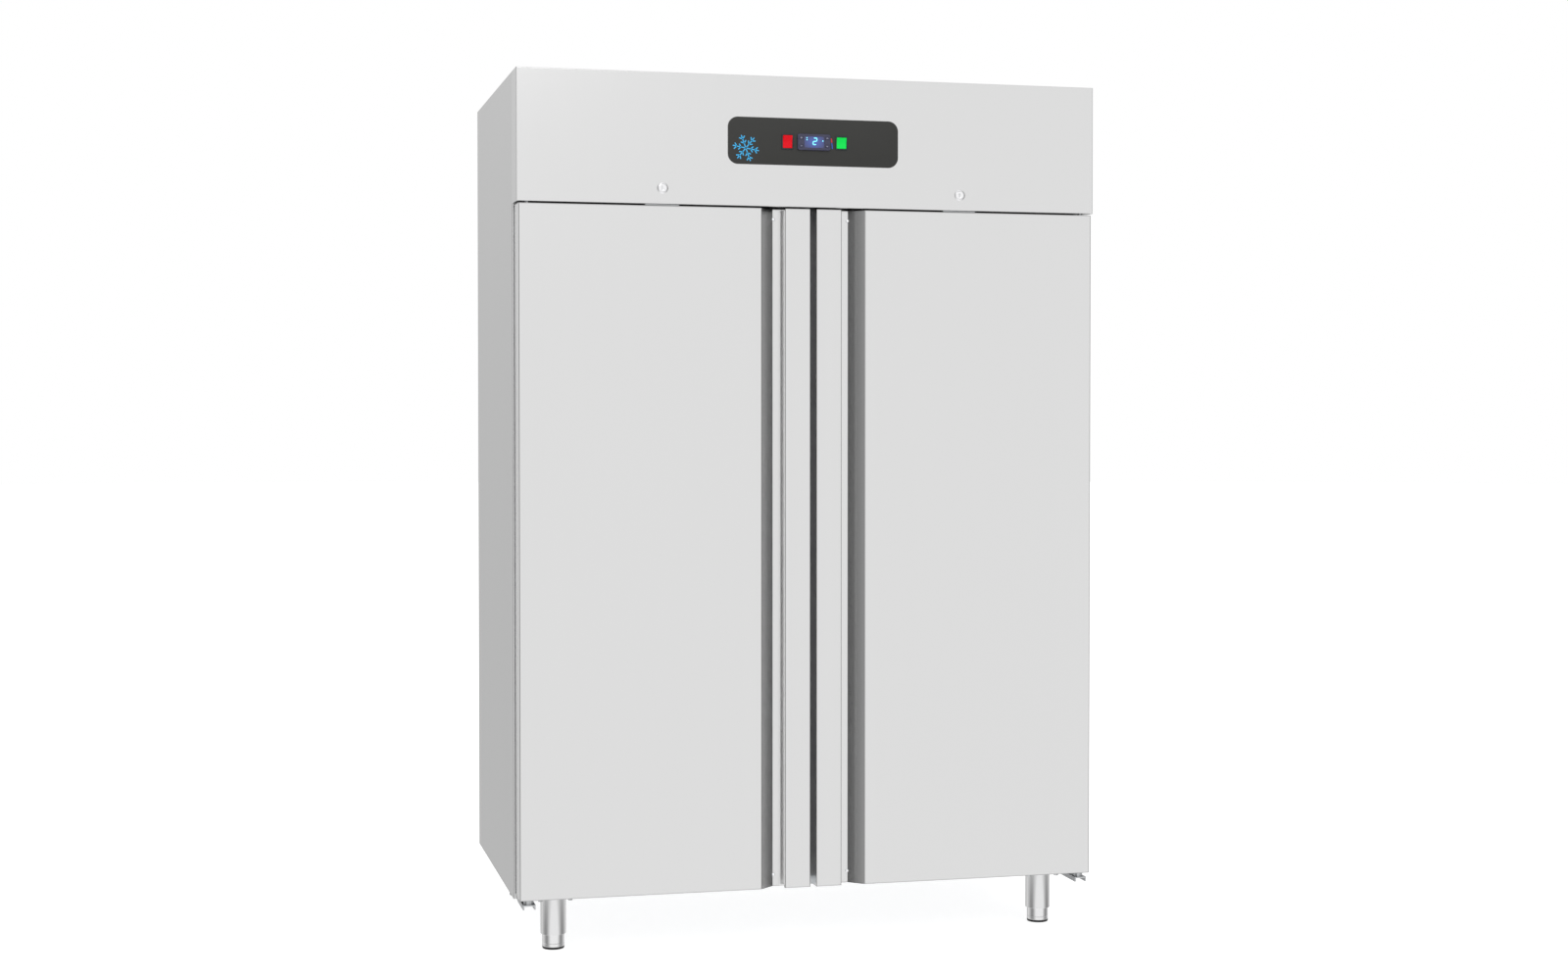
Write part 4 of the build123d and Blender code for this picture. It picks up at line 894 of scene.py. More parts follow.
class Palette:
    """Every finish of the refrigerator, made once and kept by name."""

    FINISHES = {
        "front_steel": BrushedMetal((0.70, 0.70, 0.70), 0.20, 0.04, 0.02, 0.000003),
        # Door skin: painted shade darkens the channel walls, most at their inner side, and draws dark lines
        # along its bends and ends; painted light brightens its side faces.
        "skin_steel_painted_shading": FoldedMetal((0.70, 0.70, 0.70), 0.20, 0.04, 0.02, 0.000003, strip=(0.0925, 0.1262),
                                  depth=-0.3958, shares=(0.39, 1.04), edges=(0.6950, 0.1260)),
        # Grip profile: painted light brightens the undercut behind the rail and the gap between the doors;
        # painted shade draws dark lines along its bends and ends.
        "grip_steel_painted_shading": FoldedMetal((0.70, 0.70, 0.70), 0.20, 0.04, 0.02, 0.000003, strip=(0.0605, 0.0760),
                                  depth=-0.3850, shares=(1.36, 1.15), edges=(0.0690, 0.0070),
                                  gap=(0.0072, 1.38)),
        # Side panels: a darker tone than the front steel; part of it is painted shade, since the sides face
        # away from the light.
        "side_steel": BrushedMetal((0.655, 0.655, 0.655), 0.24, 0.04, 0.025, 0.000003),
        "liner_steel": BrushedMetal((0.70, 0.71, 0.72), 0.34, 0.06, 0.04, 0.000004),
        "rack_steel": BrushedMetal((0.72, 0.73, 0.74), 0.28, 0.05, 0.04, 0.000003),
        "leg_steel": BrushedMetal((0.75, 0.75, 0.755), 0.17, 0.05, 0.04, 0.000003, Grain.AROUND),
        "foot_steel": BrushedMetal((0.78, 0.78, 0.785), 0.15, 0.04, 0.03, 0.000002, Grain.AROUND),
        "bracket_steel": BrushedMetal((0.52, 0.53, 0.54), 0.36, 0.08, 0.08, 0.000005, Grain.LEVEL),
        "zinc": ZincSheet((0.60, 0.62, 0.64), 0.40, 0.12, 0.12),
        "chrome": BrushedMetal((0.86, 0.86, 0.87), 0.10, 0.04, 0.02, 0.0000015, Grain.AROUND),
        "screw_steel": BrushedMetal((0.66, 0.67, 0.68), 0.24, 0.06, 0.05, 0.000002, Grain.AROUND),
        "aluminium": BrushedMetal((0.78, 0.79, 0.80), 0.32, 0.06, 0.05, 0.000003),
        "copper": Moulded((0.76, 0.36, 0.22), 0.30, 0.10, 0.22, 0.000006, grit=1.2, metal=1.0),
        "braze": Moulded((0.66, 0.55, 0.40), 0.38, 0.10, 0.15, 0.00002, grit=1.0, metal=1.0),
        "foam": Moulded((0.80, 0.70, 0.44), 0.9, 0.05, 0.14, 0.0003, grit=1.6),
        "frame_grey": Moulded((0.45, 0.46, 0.47), 0.48, 0.08, 0.05, 0.00001, grit=0.5),
        "cap_grey": Moulded((0.30, 0.31, 0.32), 0.50, 0.08, 0.06, 0.00001, grit=0.5),
        "charcoal": Moulded((0.027, 0.027, 0.0245), 0.62, 0.07, 0.08, 0.000006, grit=0.3),
        "indigo": Moulded((0.036, 0.036, 0.085), 0.38, 0.06, 0.06, 0.000004, grit=0.3, coat=0.2),
        "window_blue": LitWindow((0.040, 0.042, 0.115), 0.14, 0.03, 0.10, grit=0.5, coat=0.5,
                                 middle=(0.0, -0.402, 1.8925), spread=(0.030, 0.05, 0.020),
                                 lit=(0.045, 0.10, 0.42)),
        "key_blue": Moulded((0.042, 0.042, 0.095), 0.42, 0.06, 0.05, 0.000004, grit=0.3),
        "icon_grey": Moulded((0.46, 0.47, 0.58), 0.5, 0.05, 0.04),
        "frost_blue": Moulded((0.045, 0.52, 1.0), 0.45, 0.05, 0.05, grit=0.3, coat=0.2),
        "mark_red": Moulded((0.70, 0.03, 0.05), 0.45, 0.05, 0.05),
        "mark_blue": Moulded((0.03, 0.12, 0.62), 0.45, 0.05, 0.05),
        "digit_cyan": Lit((0.20, 0.80, 0.95), 0.4, 0.05, 0.05),
        "switch_black": Moulded((0.012, 0.03, 0.034), 0.42, 0.06, 0.08, 0.000006, grit=0.4),
        "rocker_red": Moulded((0.93, 0.005, 0.016), 0.22, 0.05, 0.05, grit=0.4, shine=0.15),
        "rocker_green": Moulded((0.006, 0.96, 0.115), 0.22, 0.05, 0.05, grit=0.4, shine=0.15),
        "gasket": Moulded((0.20, 0.20, 0.21), 0.58, 0.08, 0.08, 0.00001, grit=0.6, sheen=0.2),
        "foot_rubber": Moulded((0.016, 0.016, 0.017), 0.75, 0.08, 0.2, 0.00003, grit=1.0, sheen=0.2),
        "grommet_black": Moulded((0.02, 0.02, 0.021), 0.7, 0.08, 0.2, 0.00003, grit=1.0, sheen=0.2),
        "shelf_coat": Moulded((0.74, 0.76, 0.78), 0.34, 0.06, 0.05, 0.00001, grit=1.5, coat=0.3),
        "cover_white": Moulded((0.76, 0.77, 0.78), 0.38, 0.06, 0.03, 0.000015, grit=0.9, coat=0.2),
        "fan_black": Moulded((0.022, 0.022, 0.024), 0.42, 0.06, 0.12, 0.00001, grit=0.7),
        "motor_black": Moulded((0.03, 0.03, 0.032), 0.36, 0.08, 0.12, 0.00002, grit=1.1, metal=0.2, coat=0.2),
        "compressor_black": Moulded((0.014, 0.014, 0.016), 0.28, 0.07, 0.2, 0.00004, grit=2.2, coat=0.5),
        "box_grey": Moulded((0.52, 0.53, 0.52), 0.5, 0.06, 0.04, 0.00001, grit=0.6),
        "sleeve_foam": Moulded((0.03, 0.03, 0.032), 0.9, 0.04, 0.2, 0.0002, grit=1.8),
    }

    @classmethod
    @cache
    def get(cls, name: str) -> bpy.types.Material:
        """Returns the material of that name, made at its first use."""
        return cls.FINISHES[name].material(name)


# Pieces

CREASE = 32.0
WASHER = 1.2


@dataclass
class SubAssembly:
    """What every sub-assembly shares: it makes pieces, dresses solids and lists what it did.

    Attributes:
        pieces: Names of the pieces made and the solids dressed.
    """

    pieces: list = field(default_factory=list, init=False)

    def piece(self, name: str, surface: Surface, finish: str, body: str, slot: str,
              replaces: tuple = (), crease: float = CREASE, flat: bool = False) -> bpy.types.Object:
        """Makes one piece that rides on a body.

        Args:
            name: The piece's name.
            surface: Its points and faces, in place.
            finish: Its finish in the palette.
            body: The body that it moves with.
            slot: The record's material slot; not used.
            replaces: Names of the solids that it stands for.
            crease: Angle above which an edge stays sharp, in degrees.
            flat: Whether its faces are shaded flat.
        Returns:
            The new object.
        """
        mesh = surface.mesh(name)
        mesh.validate()
        if not flat:
            mesh.shade_smooth()
            mesh.set_sharp_from_angle(angle=math.radians(crease))
        mesh.materials.append(Palette.get(finish))
        piece = bpy.data.objects.new(name, mesh)
        bpy.context.scene.collection.objects.link(piece)
        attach(piece, body)
        if replaces:
            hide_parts(*replaces)
        self.pieces.append(name)
        return piece

    def carve(self, piece: bpy.types.Object, cutter: Surface) -> None:
        """Cuts a surface's space out of a finished piece.

        Args:
            piece: The piece, which keeps its name and finish.
            cutter: Closed surface of what is taken away.
        """
        tool = bpy.data.objects.new("cutter", cutter.mesh("cutter"))
        bpy.context.scene.collection.objects.link(tool)
        cut = piece.modifiers.new("cut", "BOOLEAN")
        cut.operation, cut.object, cut.solver = "DIFFERENCE", tool, "EXACT"
        graph = bpy.context.evaluated_depsgraph_get()
        carved = bpy.data.meshes.new_from_object(piece.evaluated_get(graph))
        piece.modifiers.clear()
        piece.data = carved
        carved.shade_smooth()
        carved.set_sharp_from_angle(angle=math.radians(CREASE))
        bpy.data.objects.remove(tool)

    def dress(self, finish: str, *nodes: str) -> None:
        """Gives solids that stay in view a finish.

        Args:
            finish: The finish in the palette.
            nodes: Names of the solids.
        """
        for node in nodes:
            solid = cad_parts[node]
            solid.data.materials.clear()
            solid.data.materials.append(Palette.get(finish))
            self.pieces.append(node)

    def report(self) -> None:
        """Logs each piece of the sub-assembly."""
        for name in self.pieces:
            log.info("%s: %s", type(self).__name__, name)


def screws(places: list, radius: float, matrix: Matrix, height: float = 2.2) -> Surface:
    """Pan-head screws whose crown is dished by a cross recess: radius 0.28 + 0.34 |cos 2t|^6.

    Args:
        places: Position of each screw's seat.
        radius: Radius of the heads.
        matrix: Turn that takes +Z to the way that the heads face.
        height: Height of the heads.
    Returns:
        All screws as one surface.
    """
    t = np.linspace(0, 2 * math.pi, 32, endpoint=False)
    star = 0.28 + 0.34 * np.abs(np.cos(2 * t)) ** 6
    rows = [(1.0, 0.0), (1.0, 0.25), (0.93, 0.62), (0.78, 0.88), (0.66, 0.97), (star, 1.0), (star, 0.35)]
    head = grid(np.stack([np.column_stack([radius * r * np.cos(t), radius * r * np.sin(t),
                                           np.full(len(t), height * z)]) for r, z in rows]))
    return head.placed(matrix.to_3x3().to_4x4()).repeated(np.array(places))


def hexagon_bolts(places: list, across: float, height: float, matrix: Matrix) -> Surface:
    """Hexagon heads with a bevelled crown on a washer: the radius is a / (2 cos u), u the angle off a flat.

    Args:
        places: Position of each washer's seat.
        across: Size over the flats.
        height: Height of the heads above their washers.
        matrix: Turn that takes +Z to the way that the heads face.
    Returns:
        All bolts as one surface.
    """
    t = np.linspace(0, 2 * math.pi, 24, endpoint=False)
    six = across / 2 / np.cos((t + math.pi / 6) % (math.pi / 3) - math.pi / 6)
    rows = [(1.0, 0.0), (1.0, 0.82), (0.9, 1.0)]
    head = grid(np.stack([np.column_stack([six * r * np.cos(t), six * r * np.sin(t),
                                           np.full(len(t), WASHER + height * z)]) for r, z in rows]))
    washer = turned([(across * 0.8, 0.0), (across * 0.8, 0.9), (across * 0.77, WASHER)], 24)
    return joined([washer, head]).placed(matrix.to_3x3().to_4x4()).repeated(np.array(places))


@dataclass
class Studio:
    """Camera, light and floor. Its numbers were solved from the photograph's edges.

    Args:
        eye: Where the camera stands, with Y from the doors' face.
        yaw: Turn of the view to the right, in degrees.
        pitch: Tilt of the view downwards, in degrees.
        focal_pixels: Focal length in pixels of a 1600 by 1000 frame.
        centre: Pixel of the frame that the optical axis passes through.
        frame_pixels: Width and height of that frame.
        sensor: Width of the sensor, in millimetres.
        room: Y of a way and the level of light that comes along it, from the front to the back.
        brightest: Level above all of those, since a ramp's colours end at 1.
        ceiling: Level straight above.
        ground: Level straight below.
        lamp_place: Where the lamp hangs.
        lamp_aim: What it shines at.
        lamp_size: Its width and height.
        lamp_power: Its power, in watts.
        floor_rings: Radii of the floor's rings of points.
        floor_sides: Points in each ring.
        floor_tone: Grey of the floor.
        floor_glow: Light that the floor adds of its own, so that it reads white.
    """

    eye: tuple = (-1.3587, -5.2005, 1.2415)
    yaw: float = 14.01
    pitch: float = 1.162
    focal_pixels: float = 2326.5
    centre: tuple = (804.5, 475.2)
    frame_pixels: tuple = (1600, 1000)
    sensor: float = 36.0
    room: tuple = ((-1.0, 1.05), (-0.80, 1.03), (-0.56, 0.60), (-0.34, 0.30), (-0.05, 0.28), (0.30, 0.55),
                   (0.62, 0.88), (0.84, 0.78), (0.97, 0.64), (1.0, 0.60))
    brightest: float = 1.1
    ceiling: float = 1.0
    ground: float = 1.10
    lamp_place: tuple = (-1.6, -5.0, 4.6)
    lamp_aim: tuple = (0.0, 0.0, 0.9)
    lamp_size: tuple = (4.0, 3.0)
    lamp_power: float = 60.0
    floor_rings: tuple = (40.0, 8.0, 2.0)
    floor_sides: int = 64
    floor_tone: float = 0.55
    floor_glow: float = 0.76

    def build(self) -> None:
        """Makes the camera, the world, the lamp and the floor."""
        self.camera()
        self.world()
        self.lamp()
        self.floor()
        bpy.context.scene.view_settings.view_transform = "Standard"

    def camera(self) -> None:
        """Sets a camera at the photograph's viewing angle."""
        width, height = self.frame_pixels
        data = bpy.data.cameras.new("camera")
        data.sensor_width = self.sensor
        data.lens = self.focal_pixels / width * self.sensor
        data.shift_x = (width / 2 - self.centre[0]) / width
        data.shift_y = (self.centre[1] - height / 2) / width
        data.clip_end = 100.0
        camera = bpy.data.objects.new("camera", data)
        bpy.context.scene.collection.objects.link(camera)
        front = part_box("fascia_panel")[0].y
        camera.location = (self.eye[0], self.eye[1] + front, self.eye[2])
        camera.rotation_euler = (math.radians(90 - self.pitch), 0, -math.radians(self.yaw))
        bpy.context.scene.camera = camera

    def world(self) -> None:
        """Sets a soft room that the camera sees white: a ramp of light over each way's Y.

        What lies behind the object is multiplied by 1 + y z / 2. Then the level is mixed towards that of
        the ceiling by z^2 above, and towards that of the ground by z^2 below.
        """
        world = bpy.data.worlds.new("studio")
        bpy.context.scene.world = world
        world.use_nodes = True
        tree = world.node_tree
        nodes, links = tree.nodes, tree.links
        background = nodes["Background"]
        way = nodes.new("ShaderNodeSeparateXYZ")
        links.new(nodes.new("ShaderNodeTexCoord").outputs["Generated"], way.inputs[0])
        ramp = nodes.new("ShaderNodeValToRGB")
        ramp.color_ramp.interpolation = "EASE"
        for step, (place, level) in enumerate(self.room):
            element = (ramp.color_ramp.elements[step] if step < 2
                       else ramp.color_ramp.elements.new((place + 1) / 2))
            element.position = (place + 1) / 2
            element.color = (*[level / self.brightest] * 3, 1.0)
        links.new(maths(tree, "MULTIPLY_ADD", way.outputs["Y"], 0.5, 0.5), ramp.inputs["Fac"])
        fade = maths(tree, "MULTIPLY", maths(tree, "MAXIMUM", way.outputs["Y"], 0.0), 0.5)
        fade = maths(tree, "MULTIPLY_ADD", fade, way.outputs["Z"], 1.0)
        level = maths(tree, "MULTIPLY", maths(tree, "MULTIPLY", ramp.outputs["Color"], self.brightest), fade)
        steep = [maths(tree, "MAXIMUM", maths(tree, "MULTIPLY", way.outputs["Z"], sign), 0.0)
                 for sign in (1.0, -1.0)]
        for share, goal in ((maths(tree, "POWER", steep[0], 2.0), self.ceiling),
                            (maths(tree, "POWER", steep[1], 2.0), self.ground),
                            (seen_directly(tree), 1.0)):
            mix = nodes.new("ShaderNodeMix")
            links.new(share, mix.inputs["Factor"])
            links.new(level, mix.inputs["A"])
            mix.inputs["B"].default_value = goal
            level = mix.outputs["Result"]
        links.new(level, background.inputs["Strength"])
        background.inputs["Color"].default_value = (1.0, 1.0, 1.0, 1.0)

    def lamp(self) -> None:
        """Adds one large soft lamp in front and above, which gives the floor its shadow."""
        data = bpy.data.lights.new("key_lamp", "AREA")
        data.shape = "RECTANGLE"
        data.size, data.size_y = self.lamp_size
        data.energy = self.lamp_power
        lamp = bpy.data.objects.new("key_lamp", data)
        bpy.context.scene.collection.objects.link(lamp)
        lamp.location = self.lamp_place
        aim = Vector(self.lamp_aim) - lamp.location
        lamp.rotation_euler = aim.to_track_quat("-Z", "Y").to_euler()

    def floor(self) -> None:
        """Lays a pale floor that reads white, takes the shadow, and lets metal mirror the room beyond it."""
        rings = [circle_path(radius, self.floor_sides) for radius in reversed(self.floor_rings)]
        surface = grid(np.stack(rings), cap=False)
        mesh = bpy.data.meshes.new("floor")
        faces = [*surface.quads[:, ::-1].tolist(), list(range(self.floor_sides))]
        mesh.from_pydata(surface.points.tolist(), [], faces)
        material = bpy.data.materials.new("floor")
        material.use_nodes = True
        tree = material.node_tree
        nodes, links = tree.nodes, tree.links
        nodes.remove(nodes["Principled BSDF"])
        matte = nodes.new("ShaderNodeBsdfDiffuse")
        matte.inputs["Color"].default_value = (*[self.floor_tone] * 3, 1.0)
        glow = nodes.new("ShaderNodeEmission")
        strength = maths(tree, "MULTIPLY", seen_directly(tree), self.floor_glow)
        links.new(strength, glow.inputs["Strength"])
        both = nodes.new("ShaderNodeAddShader")
        links.new(matte.outputs[0], both.inputs[0])
        links.new(glow.outputs[0], both.inputs[1])
        mirrored = nodes.new("ShaderNodeMixShader")
        links.new(nodes.new("ShaderNodeLightPath").outputs["Is Glossy Ray"], mirrored.inputs[0])
        links.new(both.outputs[0], mirrored.inputs[1])
        links.new(nodes.new("ShaderNodeBsdfTransparent").outputs[0], mirrored.inputs[2])
        links.new(mirrored.outputs[0], nodes["Material Output"].inputs["Surface"])
        mesh.materials.append(material)
        floor = bpy.data.objects.new("floor", mesh)
        bpy.context.scene.collection.objects.link(floor)


@dataclass
class ControlPanel(SubAssembly):
    """Dark plate on the fascia with the thermostat, the flake and the two rocker switches.

    Args:
        corner: Corner radius of the plate.
        bezel: How far the thermostat stands in front of the plate.
        recess: Depth of the window's recess in the bezel.
        key: Width, height and corner radius of a key.
        key_proud: How far a key stands in front of the bezel.
        rim: How far the switch frames stand in front of the plate.
        tilt: Angle of each rocker, in degrees.
        rockers: Name, X, width and height of each rocker.
        flake_place: Middle of the flake from the plate's middle.
        flake_arm: Length of the flake's arms.
        flake_turn: Angle of its first arm, in degrees.
        branches: Share of the arm at which each pair of branches starts, and their length.
        spread: Angle between a branch and its arm, in degrees.
        print: Depth and height of what is printed, from the face that it is on.
    """

    corner: float = 24.0
    bezel: float = 5.0
    recess: float = 1.6
    key: tuple = (9.0, 6.5, 1.6)
    key_proud: float = 0.8
    rim: float = 2.0
    tilt: float = 8.0
    flake_place: tuple = (-164.1, -17.8)
    flake_arm: float = 32.0
    rockers: tuple = (("red", -64.0, 22.5, 30.0), ("green", 67.0, 23.5, 26.0))
    flake_turn: float = -10.0
    branches: tuple = ((0.36, 9.0), (0.68, 9.5))
    spread: float = 50.0
    print: tuple = (-0.1, 0.06)

    def build(self) -> None:
        """Builds the plate and everything on it."""
        self.low, self.high = box_of("control_plate")
        self.middle = (self.low[2] + self.high[2]) / 2
        self.plate()
        self.flake()
        self.thermostat()
        self.keys()
        self.readout()
        self.switches()

    def on_plate(self, x: float = 0.0, z: float = 0.0) -> Matrix:
        """Returns the matrix to a point on the plate's face, given from its middle."""
        return at(x, self.low[1], self.middle + z)

    def plate(self) -> None:
        """Plate with rounded corners and a soft rim."""
        size = self.high - self.low
        levels = soft_edge((size[0], size[2], self.corner), -size[1], 0.0, 0.8)
        self.piece("control_plate_face", stacked(levels, steps=16).placed(self.on_plate()), "charcoal",
                   "cabinet", "plate_charcoal", ("control_plate",))

    def flake(self) -> None:
        """Plain six-armed flake: each arm carries two pairs of branches."""
        lines = []
        for arm in range(6):
            turn = math.radians(self.flake_turn + 60 * arm)
            along = np.array([math.cos(turn), math.sin(turn)])
            lines.append((along * 2.0, along * self.flake_arm))
            for share, reach in self.branches:
                foot = along * self.flake_arm * share
                for side in (-1, 1):
                    lean = turn + side * math.radians(self.spread)
                    lines.append((foot, foot + reach * np.array([math.cos(lean), math.sin(lean)])))
        surface = strokes(lines, 2.6, -0.2, 0.22, 1.2)
        self.piece("frost_flake", surface.placed(self.on_plate(*self.flake_place)), "frost_blue",
                   "cabinet", "plate_charcoal", flat=True)

    def thermostat(self) -> None:
        """Case: a body behind the plate and a soft bezel with a recess, with a pocket for each key."""
        low, high = box_of("thermostat_housing")
        width, height = high[0] - low[0], high[2] - low[2]
        window_low, window_high = box_of("display_window")
        across, up = window_high[0] - window_low[0], window_high[2] - window_low[2]
        floor = self.bezel - self.recess
        levels = [(width - 10, height - 10, 3.0, -58.0), (width - 10, height - 10, 3.0, 0.0)]
        levels += soft_edge((width, height, 4.6), 0.0, self.bezel, 1.5, 5)
        levels += [(across + 0.8, up + 0.8, 2.9, self.bezel), (across, up, 2.6, self.bezel - 0.4),
                   (across, up, 2.6, floor)]
        case = self.piece("thermostat_case", stacked(levels).placed(self.on_plate()), "indigo", "cabinet",
                          "thermostat_blue", ("thermostat_housing",))
        pockets = []
        for x, z in self.key_places().values():
            pocket = stacked([(self.key[0] + 0.7, self.key[1] + 0.7, self.key[2] + 0.3, level)
                              for level in (self.bezel - 3.0, self.bezel + 2.0)], steps=5)
            pockets.append(pocket.placed(self.on_plate(x, z)))
        self.carve(case, joined(pockets))
        levels = soft_edge((across - 0.2, up - 0.2, 2.5), floor, self.bezel - 0.4, 0.3)
        self.piece("window_glass", stacked(levels).placed(self.on_plate()), "window_blue", "cabinet",
                   "display_blue", ("display_window",))

    def key_places(self) -> dict:
        """Returns the middle of each key from the plate's middle, by its name."""
        places = {}
        for name in ("upper_left", "upper_right", "lower_left", "lower_right"):
            low, high = box_of(f"key_{name}")
            places[name] = ((low[0] + high[0]) / 2, (low[2] + high[2]) / 2 - self.middle)
        return places

    def keys(self) -> None:
        """Four soft keys, each with a printed sign that moves with it."""
        ring = [(math.cos(t) * 1.5, math.sin(t) * 1.5) for t in np.linspace(0, 2 * math.pi, 9)]
        signs = {
            "upper_left": list(zip(ring, ring[1:])),
            "upper_right": [((-2, -0.9), (0, 1.1)), ((0, 1.1), (2, -0.9))],
            "lower_left": [((-1.9, 0), (1.9, 0))],
            "lower_right": [((-2, 1.1), (0, -0.9)), ((0, -0.9), (2, 1.1))],
        }
        top = self.bezel + self.key_proud
        for name, (x, z) in self.key_places().items():
            levels = soft_edge(self.key, self.bezel - 2.0, top, 0.6)
            body = f"key_{name}"
            self.piece(f"key_pad_{name}", stacked(levels, 5).placed(self.on_plate(x, z)), "key_blue", body,
                       "key_plastic", (body,))
            sign = strokes(signs[name], 1.1, top + self.print[0], top + self.print[1])
            self.piece(f"key_sign_{name}", sign.placed(self.on_plate(x, z)), "icon_grey", body,
                       "key_plastic", flat=True)

    def readout(self) -> None:
        """Lit figure on the window, its three dots, and the warm and cold marks beside the case."""
        top = self.bezel - 0.4
        wide, tall, lean, space = 4.1, 7.6, 0.13, 0.5
        low, high = top - 0.1, top + 0.05
        corners = np.array([(-wide, tall), (wide, tall), (wide, 0), (-wide, 0), (-wide, -tall),
                            (wide, -tall)])
        start, end = corners[:-1], corners[1:]
        run = (end - start) / np.linalg.norm(end - start, axis=1)[:, None] * space
        lines = np.stack([start + run, end - run], 1)
        lines[..., 0] += lean * lines[..., 1]
        figure = strokes(lines + np.array([1.6, 2.0]), 2.3, low, high, 1.0)
        dots = [stacked([(2.6, 2.6, 0.7, level) for level in (low, high)]).moved(x, z)
                for x, z in ((-17.9, 9.6), (-17.9, 5.1), (20.9, 3.2))]
        self.piece("lit_figure", joined([figure, *dots]).placed(self.on_plate()), "digit_cyan", "cabinet",
                   "display_blue", flat=True)
        for name, finish, line, width in (("warm_mark", "mark_red", ((42.4, 10.6), (43.6, 0.4)), 3.0),
                                          ("cold_mark", "mark_blue", ((43.7, -0.4), (45.2, -14.2)), 2.4)):
            mark = strokes([line], width, -0.1, 0.12, 0.3)
            self.piece(name, mark.placed(self.on_plate()), finish, "cabinet", "plate_charcoal", flat=True)

    def switches(self) -> None:
        """Switch frames with their pockets, and a rocker in each."""
        frames = []
        for name, x, width, height in self.rockers:
            reach = height / 2
            proud = self.rim + reach * math.tan(math.radians(self.tilt))
            pocket = 2 * (math.hypot(proud, reach) + 0.4)
            levels = [(width + 3.8, pocket + 3.0, 1.6, -26.0), (width + 3.8, pocket + 3.0, 1.6, 0.0)]
            levels += soft_edge((width + 6.0, pocket + 5.2, 2.6), 0.0, self.rim, 1.2)
            levels += [(width + 1.4, pocket + 0.6, 1.0, self.rim),
                       (width + 0.8, pocket, 0.7, self.rim - 0.5), (width + 0.8, pocket, 0.7, -23.0)]
            frames.append(stacked(levels).placed(self.on_plate(x)))
            tipped = Matrix.Rotation(math.radians(self.tilt), 4, "X") @ FACING_FRONT
            surface = self.rocker(width, reach, proud)
            self.piece(f"{name}_rocker_cap", surface.placed(at(x, self.low[1], self.middle, tipped)),
                       f"rocker_{name}", f"{name}_rocker", f"rocker_{name}", (f"{name}_rocker",), 50.0)
        self.piece("switch_bezels", joined(frames), "switch_black", "cabinet", "switch_black",
                   ("switch_frames",))

    def rocker(self, width: float, reach: float, proud: float) -> Surface:
        """Rocker: a closed profile of Y and Z carried along X, drawn in towards both ends.

        The face is z = m + (proud - m) (sqrt(y^2 + 3^2) - 3) / (sqrt(reach^2 + 3^2) - 3), a V whose
        rounded valley lies at the rim m, and an end is drawn in by e (1 - cos a) while x runs to e sin a.

        Args:
            width: Size along X.
            reach: Half the size along Y.
            proud: Height of both ends of the face.
        Returns:
            The closed surface, about its pivot.
        """
        y = np.linspace(reach - 0.5, -reach + 0.5, 25)
        z = self.rim + (proud - self.rim) * (np.sqrt(y**2 + 9) - 3) / (math.sqrt(reach**2 + 9) - 3)
        heel = [(-reach, proud - 0.7), (-reach + 3.5, -2.5), (-3.5, -5.0), (3.5, -5.0),
                (reach - 3.5, -2.5), (reach, proud - 0.7)]
        loop = np.concatenate([np.column_stack([y, z]), np.array(heel)])
        edge, rows = 0.8, []
        turns = np.linspace(math.pi / 2, 0, 5)
        places = [(-width / 2 + edge * (1 - math.sin(a)), edge * (1 - math.cos(a))) for a in turns]
        places += [(-x, inset) for x, inset in reversed(places)]
        centre = np.array([0.0, (proud - 5.0) / 2])
        for x, inset in places:
            scale = 1 - inset / np.array([reach, (proud + 5.0) / 2])
            drawn = (loop - centre) * scale + centre
            rows.append(np.column_stack([np.full(len(loop), x), drawn]))
        return grid(np.stack(rows))


